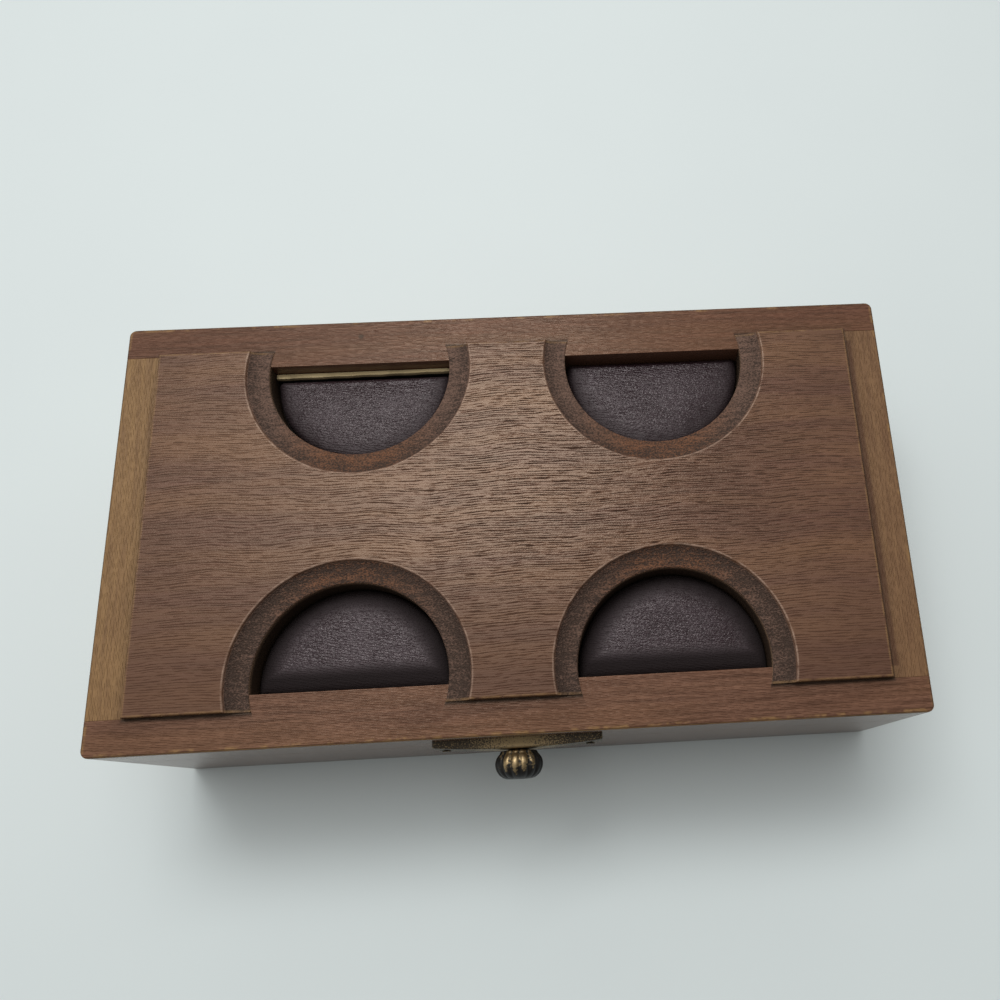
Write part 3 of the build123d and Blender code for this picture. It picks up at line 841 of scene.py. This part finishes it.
def leather_pad(node, side_y):
    """A half-round leather pad, swollen until the walls of its window hold it in."""
    panel, leather = bpy.context.scene.box_panel, bpy.context.scene.box_leather
    low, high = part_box(node)
    radius = (high.x - low.x) / 2 + leather.reach
    centre = Vector(((low.x + high.x) / 2, side_y * panel.window_y, low.z))
    thickness = high.z - low.z - leather.crown
    edge = max(abs(low.y), abs(high.y)) + leather.reach
    bpy.ops.object.select_all(action="DESELECT")
    bpy.ops.mesh.primitive_cylinder_add(
        vertices=96, radius=radius, depth=thickness, location=centre + Vector((0, 0, thickness / 2))
    )
    bpy.ops.object.transform_apply(location=True, rotation=True, scale=True)
    pad = bpy.context.object
    pad.name = node + "_leather"
    with edit_mode(pad, "SELECT"):
        bpy.ops.mesh.bisect(
            plane_co=(0, side_y * edge, 0), plane_no=(0, side_y, 0), use_fill=True, clear_outer=True
        )
    swell(pad, pinned_height=0.5 * thickness, crown=leather.crown, voxel=0.7 * MM, pressure=0.4)
    edge_roll = leather.roll if side_y < 0 else REAR_EDGE_ROLL
    for vertex in pad.data.vertices:
        spoke = (vertex.co - centre).to_2d()
        if spoke.length > radius:
            spoke *= radius / spoke.length
            vertex.co.xy = centre.to_2d() + spoke
        if side_y * vertex.co.y > edge:
            vertex.co.y = side_y * edge
        from_edge = edge - side_y * vertex.co.y
        drop = max(roll_drop(radius - spoke.length, leather.roll), roll_drop(from_edge, edge_roll))
        if side_y > 0:
            drop -= WELT_HEIGHT * math.exp(-(((from_edge - WELT_FROM_EDGE) / WELT_WIDTH) ** 2))
        vertex.co.z = min(high.z, vertex.co.z - drop * (vertex.co.z - low.z) / (high.z - low.z))
    return pad


def grained_leather():
    """Dyed calf over wadding, with a fine pebbled grain.

    The eye gets a near-black aubergine that turns grey only in its soft satin sheen, broken up by the grain,
    by fine slanting creases and by painted glints of pale specks, and a border painted dark as shade, and
    rougher, where the pad rolls down to its window.
    """
    leather, panel = bpy.context.scene.box_leather, bpy.context.scene.box_panel
    material, add, spot, shader = new_material("grained_calf_leather")

    def turned(degrees, scale):
        return add("Mapping", {"Vector": spot, "Rotation": (0, 0, math.radians(degrees)), "Scale": scale})

    pebbles = {"Vector": turned(35, (1.0, 1.6, 1.0)), "Scale": 1 / leather.grain, "Randomness": 1.0}
    cells = add("TexVoronoi", pebbles, "Distance")
    folds = {
        "Vector": turned(40, (0.25, 1.0, 1.0)),
        "Scale": BAND_SPACING / leather.grain,
        "Distortion": 9.0,
        "Detail": 3.0,
        "Detail Scale": 1.6,
        "Detail Roughness": 0.65,
    }
    creases = add("TexWave", folds, "Fac", bands_direction="Y")
    glint_specks = add("TexNoise", {"Vector": turned(-55, (1.0, 2.6, 1.0)), "Scale": 1 / (0.85 * MM), "Detail": 3.0})
    patches = sized_noise(add, spot, (9 * MM,) * 3, detail=3.0)
    colour = coat(add, leather.hide, leather.rubbed, patches, 0.4, 0.75, 0.14)
    axes = add("SeparateXYZ", {0: spot}, "X").node.outputs
    radius = panel.window_radius
    # Painted shade: the border where a pad rolls down is painted dark and made rougher, most on the arcs of
    # the front pads, where the window walls cast their shadow.
    arc_border = {"From Min": radius - 8.0 * MM, "From Max": radius - 1.6 * MM}
    at_arc = add("MapRange", {"Value": distance_to_window(add, axes, panel), **arc_border})
    to_front = add("MapRange", {"Value": axes["Y"], "From Min": 5 * MM, "From Max": -5 * MM, "To Min": 0.55})
    at_arc = add("Math", {0: at_arc, 1: to_front}, operation="MULTIPLY")
    front_border = {"From Min": -inner_y + 8.0 * MM, "From Max": -inner_y + 3.5 * MM}
    at_front = add("MapRange", {"Value": axes["Y"], **front_border})
    border = add("Math", {0: at_arc, 1: at_front}, operation="MAXIMUM")
    dull_and_shaded = add("MapRange", {"Value": border}, **EASED)
    colour = coat(add, colour, leather.crease_and_shade, cells, 0.35, 0.8, 0.6)
    # Painted glints: pale specks standing in for the grain's tops catching the light.
    colour = coat(add, colour, leather.rubbed, glint_specks, 0.5, 0.75, 0.08)
    colour = add("Mix", {0: dull_and_shaded, 6: colour, 7: leather.crease_and_shade}, **COLOURS)
    pebbled = add("Math", {0: cells, 1: -0.6, 2: glint_specks}, operation="MULTIPLY_ADD")
    fine = add("Bump", {"Height": pebbled, "Distance": 0.11 * MM, "Strength": 1.0})
    bump = add("Bump", {"Height": creases, "Distance": 0.1 * MM, "Strength": 0.6, "Normal": fine})
    roughness = add("MapRange", {"Value": patches, "To Min": 0.22, "To Max": 0.36})
    roughness = add("Mix", {0: dull_and_shaded, 2: roughness, 3: 0.9}, **NUMBERS)
    connect(shader, {"Base Color": colour, "Roughness": roughness, "Normal": bump})
    connect(shader, {"Specular IOR Level": 0.68, "Specular Tint": COOL_DRESSING})
    return material


def velvet(name, colour, seed):
    """Cotton velvet glued over card or wadding: a soft nap, paler at a slant and in brushed patches."""
    cloth = bpy.context.scene.box_cloth
    material, add, spot, shader = new_material(name)
    nap = sized_noise(add, spot, (0.25 * MM,) * 3, detail=1.0)
    brushed = sized_noise(add, spot, (11 * MM, 7 * MM, 7 * MM), (seed, 0, 0), 3.0)
    colour = coat(add, colour, cloth.nap, brushed, 0.42, 0.66, 0.55)
    colour = coat(add, colour, VELVET_SHADE, nap, 0.3, 0.7, 0.35)
    bump = add("Bump", {"Height": nap, "Distance": 0.15 * MM, "Strength": 0.5})
    connect(shader, {"Base Color": colour, "Roughness": 0.95, "Normal": bump})
    connect(shader, {"Sheen Weight": 0.5, "Sheen Roughness": 0.4, "Sheen Tint": cloth.nap})
    return material


def aged_brass(name, patina, ribbed):
    """Brass with a chemical antique patina, rubbed bright where fingers meet it.

    The eye gets a nearly black metal in the hollows and a dull gold on the high places. On the knob the upper
    side is also painted brighter, a painted highlight of the light above.
    """
    brass = bpy.context.scene.box_brass
    material, add, spot, shader = new_material(name)
    axes = add("SeparateXYZ", {0: spot}, "X").node.outputs
    stain = sized_noise(add, spot, ((0.7 if ribbed else 0.35) * MM,) * 3, detail=4.0)
    pits = sized_noise(add, spot, (0.3 * MM,) * 3, detail=2.0)
    if ribbed:
        centre = (knob_low + knob_high) / 2
        back = {"Value": axes["Y"], "From Min": knob_low.y, "From Max": knob_high.y, "To Min": -0.3}
        across = add("Math", {0: axes["X"], 1: centre.x}, operation="SUBTRACT")
        above = add("Math", {0: axes["Z"], 1: centre.z}, operation="SUBTRACT")
        angle = add("Math", {0: above, 1: across}, operation="ARCTAN2")
        turns = add("Math", {0: angle, 1: float(brass.ribs)}, operation="MULTIPLY")
        wave = add("Math", {0: turns}, operation="COSINE")
        ridge = add("Math", {0: wave, 1: 0.12, 2: stain}, operation="MULTIPLY_ADD")
        # Painted highlight: the knob is brighter towards its top, standing in for the light from above; it is
        # also brighter towards its back.
        slope = 2.1 / (knob_high.z - knob_low.z)
        high = add("Math", {0: above, 1: slope, 2: -0.95}, operation="MULTIPLY_ADD")
        toward_back_and_top = add("Math", {0: add("MapRange", back), 1: 0.45, 2: high}, operation="MULTIPLY_ADD")
        crest, shown, most = add("Math", {0: ridge, 1: toward_back_and_top}, operation="ADD"), 0.78, 0.85
    else:
        from_middle = add("Math", {0: axes["X"]}, operation="ABSOLUTE")
        middle = {"Value": from_middle, "From Min": 13 * MM, "From Max": 0, "To Min": -0.06, "To Max": 0.2}
        crest, shown, most = add("Math", {0: stain, 1: add("MapRange", middle)}, operation="ADD"), 0.66, 0.6
    rubbed = add("MapRange", {"Value": crest, "From Min": 0.45, "From Max": shown, "To Max": most}, **EASED)
    colour = add("Mix", {0: rubbed, 6: patina, 7: brass.bright}, **COLOURS)
    roughness = add("MapRange", {"Value": rubbed, "To Min": 0.55, "To Max": 0.4})
    bump = add("Bump", {"Height": pits, "Distance": 0.06 * MM, "Strength": 0.5})
    bare = add("MapRange", {"Value": rubbed, "From Max": 0.6, "To Min": 0.1})
    connect(shader, {"Base Color": colour, "Roughness": roughness, "Normal": bump, "Metallic": bare})
    return material


def plain_brass():
    """Drawn hinge brass, satin and a little tarnished."""
    material, add, spot, shader = new_material("satin_hinge_brass")
    tarnish = sized_noise(add, spot, (3 * MM,) * 3, detail=4.0)
    scratches = sized_noise(add, spot, (4 * MM, 0.12 * MM, 0.12 * MM), detail=1.0)
    colour = coat(add, bpy.context.scene.box_brass.hinge, BRASS_TARNISH, tarnish, 0.45, 0.75, 0.5)
    roughness = add("MapRange", {"Value": tarnish, "To Min": 0.28, "To Max": 0.5})
    bump = add("Bump", {"Height": scratches, "Distance": 0.02 * MM, "Strength": 0.3})
    connect(shader, {"Base Color": colour, "Roughness": roughness, "Normal": bump, "Metallic": 1.0})
    return material


def plain_steel():
    """A zinc-bright steel screw."""
    material, add, spot, shader = new_material("bright_screw_steel")
    haze = sized_noise(add, spot, (1.2 * MM,) * 3, detail=3.0)
    roughness = add("MapRange", {"Value": haze, "To Min": 0.3, "To Max": 0.5})
    connect(shader, {"Base Color": BRIGHT_ZINC, "Roughness": roughness, "Metallic": 1.0})
    return material


def felt():
    """Pressed wool felt: matt, with a loose random fibre."""
    material, add, spot, shader = new_material("pressed_wool_felt")
    fibre = sized_noise(add, spot, (0.5 * MM,) * 3, detail=4.0)
    colour = coat(add, bpy.context.scene.box_cloth.felt, FELT_FIBRE, fibre, 0.3, 0.7)
    bump = add("Bump", {"Height": fibre, "Distance": 0.2 * MM, "Strength": 0.6})
    connect(shader, {"Base Color": colour, "Roughness": 1.0, "Normal": bump, "Sheen Weight": 0.25})
    return material


def raw_wood(name, wood_colour, grain_colour, shaded_below=None):
    """Unpolished softwood with a faint straight grain, a little grubby, and where asked painted black low
    down as shade.
    """
    material, add, spot, shader = new_material(name)
    grain = sized_noise(add, spot, (12 * MM, 0.5 * MM, 0.5 * MM), detail=3.0)
    grime_and_shade = sized_noise(add, spot, (5 * MM,) * 3, detail=3.0)
    colour = coat(add, wood_colour, grain_colour, grain, 0.4, 0.7, 0.5)
    colour = coat(add, colour, bpy.context.scene.box_wood.pore, grime_and_shade, 0.5, 0.8, 0.5)
    if shaded_below is not None:
        # Painted shade: black low down, in the gap in front of the strip.
        height = add("SeparateXYZ", {0: spot}, "Z")
        colour = coat(add, colour, GAP_SHADE, height, shaded_below, shaded_below - 0.4 * MM)
    bump = add("Bump", {"Height": grain, "Distance": 0.08 * MM, "Strength": 0.5})
    connect(shader, {"Base Color": colour, "Roughness": 0.8, "Normal": bump})
    return material


# ----- Pieces -----


def knob_piece():
    """The ribbed knob: turned, then drawn in between its ribs."""
    ribs = bpy.context.scene.box_brass.ribs
    radius = (knob_high.x - knob_low.x) / 2
    back, tip = front_face - knob_high.y, front_face - knob_low.y
    neck, swelling = 0.45 * radius, 0.55 * radius
    shoulder = back + 0.35 * MM
    middle = back + 0.5 * (tip - back)
    outline = [(0, back), (neck, back), (neck, shoulder), (0.78 * radius, shoulder)]
    outline += arc((neck, middle), (swelling, middle - shoulder), -52, 0, 6)
    outline += arc((neck, middle), (swelling, tip - middle), 0, 82, 8)[1:]
    outline += [(0.40 * radius, tip), (0.25 * radius, tip - 0.12 * MM), (0, tip - 0.15 * MM)]
    piece = lathe("ribbed_knob", outline, steps=4 * ribs)

    def in_valley(co):
        phase = round(math.atan2(co.y, co.x) / math.tau * 4 * ribs) % 4
        return phase == 2 and math.hypot(co.x, co.y) > 0.5 * radius and co.z > shoulder

    with edit_mode(piece) as mesh:
        pick_vertices(mesh, in_valley)
        bpy.ops.transform.resize(value=(0.9, 0.9, 1), center_override=(0, 0, 0))
    apply_modifier(piece, "SUBSURF", levels=2, render_levels=2)
    centre = Vector(((knob_low.x + knob_high.x) / 2, front_face, (knob_low.z + knob_high.z) / 2))
    place(piece, Matrix.Translation(centre) @ Matrix.Rotation(math.radians(90), 4, "X"))
    make_active(piece)
    bpy.ops.object.shade_smooth()
    return piece


def knob_plate_piece():
    """The thin plate behind the knob, with rounded corners and a front that swells in the middle."""
    half_length = (plate_high.x - plate_low.x) / 2
    bow = 1.0 * MM
    thickness = plate_high.y - plate_low.y - bow
    low = (plate_low.x, front_face - thickness, plate_low.z)
    piece = add_block("bowed_plate", low, (plate_high.x, front_face, plate_high.z))
    round_corners(piece, "y", 1.0 * MM)
    bevel_where(piece, lambda co: co.y < front_face - thickness / 2, 0.35 * MM, segments=3)
    slice_along(piece, plate_low.x, plate_high.x, columns=24)
    for vertex in piece.data.vertices:
        forward = (front_face - vertex.co.y) / thickness
        vertex.co.y -= forward * bow * (1 - (vertex.co.x / half_length) ** 2)
    smooth_by_angle(piece, degrees=40)
    return piece


def packing_strip_piece():
    """The raw strip behind the pad that has slipped, with a slightly wandering edge."""
    low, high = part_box("packing_strip")
    piece = add_block("packing_strip_raw", low, high)
    slice_along(piece, low.x, high.x, columns=30)
    bevel_where(piece, lambda co: co.z > high.z - MM / 10, 0.2 * MM, segments=2)
    for vertex in piece.data.vertices:
        if vertex.co.y < (low.y + high.y) / 2:
            along = (vertex.co.x - low.x) / (high.x - low.x)
            wobble = 0.06 * MM * math.sin(vertex.co.x / (1.3 * MM))
            taper = (0.05 + 0.35 * along) * MM
            vertex.co.y += wobble + taper
    smooth_by_angle(piece)
    return piece


def compartment_pad(node):
    """A velvet pad swollen on the floor of one compartment."""
    low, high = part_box(node)
    inset = Vector((0.4 * MM, 0.4 * MM, 0))
    swelling = bpy.context.scene.box_cloth.swell
    pad = add_block(node + "_velvet", low + inset, high - inset - Vector((0, 0, swelling)))
    round_corners(pad, "z", 2.5 * MM)
    pinned_height = 0.4 * (high.z - low.z - swelling)
    swell(pad, pinned_height=pinned_height, crown=swelling, voxel=1.1 * MM, pressure=4.0)
    return pad


# ----- Operators -----


def lay_floor(context):
    """The pale table that the box stands on."""
    stage = context.scene.box_stage
    bpy.ops.object.select_all(action="DESELECT")
    bpy.ops.mesh.primitive_plane_add(size=FLOOR_WIDTH)
    floor = context.object
    floor.name = "floor"
    material, add, spot, shader = new_material("matt_painted_table")
    mottle = sized_noise(add, spot, (60 * MM,) * 3, detail=3.0)
    colour = coat(add, stage.floor, FLOOR_MOTTLE, mottle, 0.3, 0.7, 0.10)
    connect(shader, {"Base Color": colour, "Roughness": 0.55})
    floor.data.materials.append(material)


def light_room(context):
    """An even light that is brighter at the back, and two broad soft lights overhead."""
    stage = context.scene.box_stage
    world = bpy.data.worlds.new("studio")
    world.use_nodes = True
    add = partial(add_node, world.node_tree)
    direction = add("TexCoord", {}, "Generated")
    toward = add("VectorMath", {0: direction, 1: BRIGHT_SIDE}, "Value", operation="DOT_PRODUCT")
    brightness = {"From Min": -0.4, "From Max": 0.6, "To Min": 0.2 * stage.sky, "To Max": 1.4 * stage.sky}
    strength = add("MapRange", {"Value": toward, **brightness})
    connect(world.node_tree.nodes["Background"], {"Color": DAYLIGHT, "Strength": strength})
    context.scene.world = world
    for name, toward_light, size, in_gloss in LIGHTS:
        spot = stage.light_distance * Vector(toward_light).normalized()
        bpy.ops.object.light_add(type="AREA", location=spot)
        light = context.object
        light.name = name
        light.rotation_euler = (-spot).to_track_quat("-Z", "Y").to_euler()
        light.data.shape = "RECTANGLE"
        light.data.size, light.data.size_y = size
        light.data.energy = getattr(stage, name)
        light.visible_glossy = in_gloss


def stand_camera(context):
    """The camera that looks down on the box from the front."""
    stage = context.scene.box_stage
    bpy.ops.object.camera_add(location=stage.camera_place, rotation=stage.camera_turn)
    camera = context.object
    camera.name = "camera"
    camera.data.lens = stage.lens
    camera.data.sensor_width = SENSOR_WIDTH
    camera.data.shift_x, camera.data.shift_y = CAMERA_SHIFT
    camera.data.clip_start = 0.01
    context.scene.camera = camera
    context.scene.view_settings.view_transform = "Standard"


class CUFFLINKBOX_OT_stage(bpy.types.Operator):
    """Lay the pale floor, hang the soft light and stand the camera"""

    bl_idname = "cufflink_box.stage"
    bl_label = "Stage"

    def execute(self, context):
        lay_floor(context)
        light_room(context)
        stand_camera(context)
        return {"FINISHED"}


class CUFFLINKBOX_OT_walls(bpy.types.Operator):
    """Ease and stain the eight walls"""

    bl_idname = "cufflink_box.walls"
    bl_label = "Walls"

    def execute(self, context):
        wood = context.scene.box_wood
        stains = {
            "front": wood.rail_stain,
            "rear": wood.rear_stain,
            "left": wood.left_stain_painted_lighter,
            "right": wood.side_stain,
        }
        for number, part in enumerate(("lid", "base")):
            for side, stain in stains.items():
                node = f"{part}_{side}_wall"
                name = f"stained_wood_{part}_{side}"
                along_x = side in ("front", "rear")
                offset = (3.1 * number, 1.7 * len(side), 5.3)  # so that no two walls share their grain
                coarseness = 0.2 if along_x else 0.18
                material = stained_wood(name, along_x, stain, offset, coarseness, darkness=0.5)
                wall = eased_copy(node, wood.arris)
                if part == "lid":
                    chip_wall(wall, along_x, -1 if side in ("front", "left") else 1)
                dress(wall, node, material)
        return {"FINISHED"}


class CUFFLINKBOX_OT_panel(bpy.types.Operator):
    """Cut the raised panel with its four coved windows"""

    bl_idname = "cufflink_box.panel"
    bl_label = "Raised panel"

    def execute(self, context):
        wood, panel = context.scene.box_wood, context.scene.box_panel
        material = stained_wood(
            "stained_wood_panel", along_x=True, stain=wood.stain, offset=(0, 0, 0),
            coarseness=0.36, darkness=0.92, panel=panel,
        )
        dress(raised_panel(), "raised_panel", material)
        return {"FINISHED"}


class CUFFLINKBOX_OT_leather_pads(bpy.types.Operator):
    """Swell the four leather pads in their windows"""

    bl_idname = "cufflink_box.leather_pads"
    bl_label = "Leather pads"

    def execute(self, context):
        material = grained_leather()
        nodes = ("pad_front_left", "pad_front_right", "pad_rear_left", "pad_rear_right")
        for node in nodes:
            pad = leather_pad(node, -1 if "front" in node else 1)
            dress(pad, node, material)
        return {"FINISHED"}


class CUFFLINKBOX_OT_strip(bpy.types.Operator):
    """Lay the raw packing strip behind the pad that has slipped"""

    bl_idname = "cufflink_box.strip"
    bl_label = "Packing strip"

    def execute(self, context):
        pale_wood = context.scene.box_cloth.pale_wood
        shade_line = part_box("packing_strip")[1].z - 0.9 * MM
        material = raw_wood("raw_yellowed_wood_strip", pale_wood, RAW_GRAIN, shaded_below=shade_line)
        dress(packing_strip_piece(), "packing_strip", material)
        return {"FINISHED"}


class CUFFLINKBOX_OT_knob(bpy.types.Operator):
    """Turn the ribbed knob and bow the plate behind it"""

    bl_idname = "cufflink_box.knob"
    bl_label = "Knob and plate"

    def execute(self, context):
        brass = context.scene.box_brass
        plate_brass = aged_brass("antique_brass_plate", brass.plate, ribbed=False)
        dress(knob_piece(), "knob", aged_brass("antique_brass_knob", brass.patina, ribbed=True))
        dress(knob_plate_piece(), "knob_plate", plate_brass)
        dress_copies(["plate_pins"], 0.1 * MM, plate_brass)
        dress_copies(["knob_screw"], 0.15 * MM, plain_steel())
        return {"FINISHED"}


class CUFFLINKBOX_OT_hinges(bpy.types.Operator):
    """Ease and finish the hinge leaves, pins and screws"""

    bl_idname = "cufflink_box.hinges"
    bl_label = "Hinges"

    def execute(self, context):
        brass = plain_brass()
        sides = ("left", "right")
        nodes = [f"{kind}_{side}" for kind in ("base_leaf", "lid_leaf", "hinge_pin") for side in sides]
        dress_copies(nodes + ["base_hinge_screws", "lid_hinge_screws"], 0.1 * MM, brass)
        return {"FINISHED"}


class CUFFLINKBOX_OT_lining(bpy.types.Operator):
    """Cover the cards and dividers with velvet"""

    bl_idname = "cufflink_box.lining"
    bl_label = "Lining and dividers"

    def execute(self, context):
        cloth = context.scene.box_cloth
        lining = velvet("velvet_over_card", cloth.velvet, seed=1.0)
        nodes = ["lining_front", "lining_rear", "lining_left", "lining_right", "floor_lining", "lid_lining"]
        nodes += ["long_divider", "cross_divider_left", "cross_divider_middle", "cross_divider_right"]
        dress_copies(nodes, 0.55 * MM, lining, segments=3)
        return {"FINISHED"}


class CUFFLINKBOX_OT_compartment_pads(bpy.types.Operator):
    """Swell two velvet pads and copy them into the eight compartments"""

    bl_idname = "cufflink_box.compartment_pads"
    bl_label = "Compartment pads"

    def execute(self, context):
        material = velvet("velvet_over_wadding", context.scene.box_cloth.velvet, seed=7.0)
        models, pads = {}, {}
        for number in range(1, 9):
            node = f"compartment_pad_{number}"
            low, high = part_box(node)
            width = round((high.x - low.x) / MM, 1)
            centre = (low + high) / 2
            if width not in models:
                pad = compartment_pad(node)
                models[width] = (pad, centre)
            else:
                model, first_centre = models[width]
                pad = model.copy()
                pad.data = model.data.copy()
                pad.name = pad.data.name = node + "_velvet"
                context.collection.objects.link(pad)
                turn = Matrix.Rotation(math.pi, 4, "Z") if number % 2 else Matrix.Identity(4)
                place(pad, Matrix.Translation(centre) @ turn @ Matrix.Translation(-first_centre))
            pads[node] = pad
        for node, pad in pads.items():
            dress(pad, node, material)
        return {"FINISHED"}


class CUFFLINKBOX_OT_boards(bpy.types.Operator):
    """Finish the bottom board, the pad board and the felt"""

    bl_idname = "cufflink_box.boards"
    bl_label = "Boards and felt"

    def execute(self, context):
        cloth = context.scene.box_cloth
        board = raw_wood("raw_birch_board", cloth.raw_wood, RAW_GRAIN)
        # Painted shade: the pad board is black, so the gaps round the leather pads look dark.
        shade_black_board = raw_wood("black_painted_board", cloth.shade_black_wood, SHADE_BLACK_GRAIN)
        dress_copies(["bottom_board"], 0.2 * MM, board)
        dress_copies(["pad_board"], 0.2 * MM, shade_black_board)
        dress_copies(["base_felt"], 0.3 * MM, felt())
        return {"FINISHED"}


OPERATORS = (
    CUFFLINKBOX_OT_stage,
    CUFFLINKBOX_OT_walls,
    CUFFLINKBOX_OT_panel,
    CUFFLINKBOX_OT_leather_pads,
    CUFFLINKBOX_OT_strip,
    CUFFLINKBOX_OT_knob,
    CUFFLINKBOX_OT_hinges,
    CUFFLINKBOX_OT_lining,
    CUFFLINKBOX_OT_compartment_pads,
    CUFFLINKBOX_OT_boards,
)


class CUFFLINKBOX_PT_panel(bpy.types.Panel):
    """The box's operators and settings"""

    bl_label = "Cufflink box"
    bl_idname = "CUFFLINKBOX_PT_panel"
    bl_space_type = "VIEW_3D"
    bl_region_type = "UI"
    bl_category = "Cufflink Box"

    def draw(self, context):
        for operator in OPERATORS:
            self.layout.operator(operator.bl_idname)
        for name, group in SETTINGS.items():
            self.layout.label(text=group.__doc__)
            for setting in group.__annotations__:
                self.layout.prop(getattr(context.scene, name), setting)


def register():
    for name, group in SETTINGS.items():
        bpy.utils.register_class(group)
        setattr(bpy.types.Scene, name, bpy.props.PointerProperty(type=group))
    for operator in OPERATORS:
        bpy.utils.register_class(operator)
    bpy.utils.register_class(CUFFLINKBOX_PT_panel)


def unregister():
    bpy.utils.unregister_class(CUFFLINKBOX_PT_panel)
    for operator in reversed(OPERATORS):
        bpy.utils.unregister_class(operator)
    for name, group in SETTINGS.items():
        delattr(bpy.types.Scene, name)
        bpy.utils.unregister_class(group)


def main():
    register()
    for operator in OPERATORS:
        add_on, _, action = operator.bl_idname.partition(".")
        getattr(getattr(bpy.ops, add_on), action)()


if __name__ == "__main__":
    main()
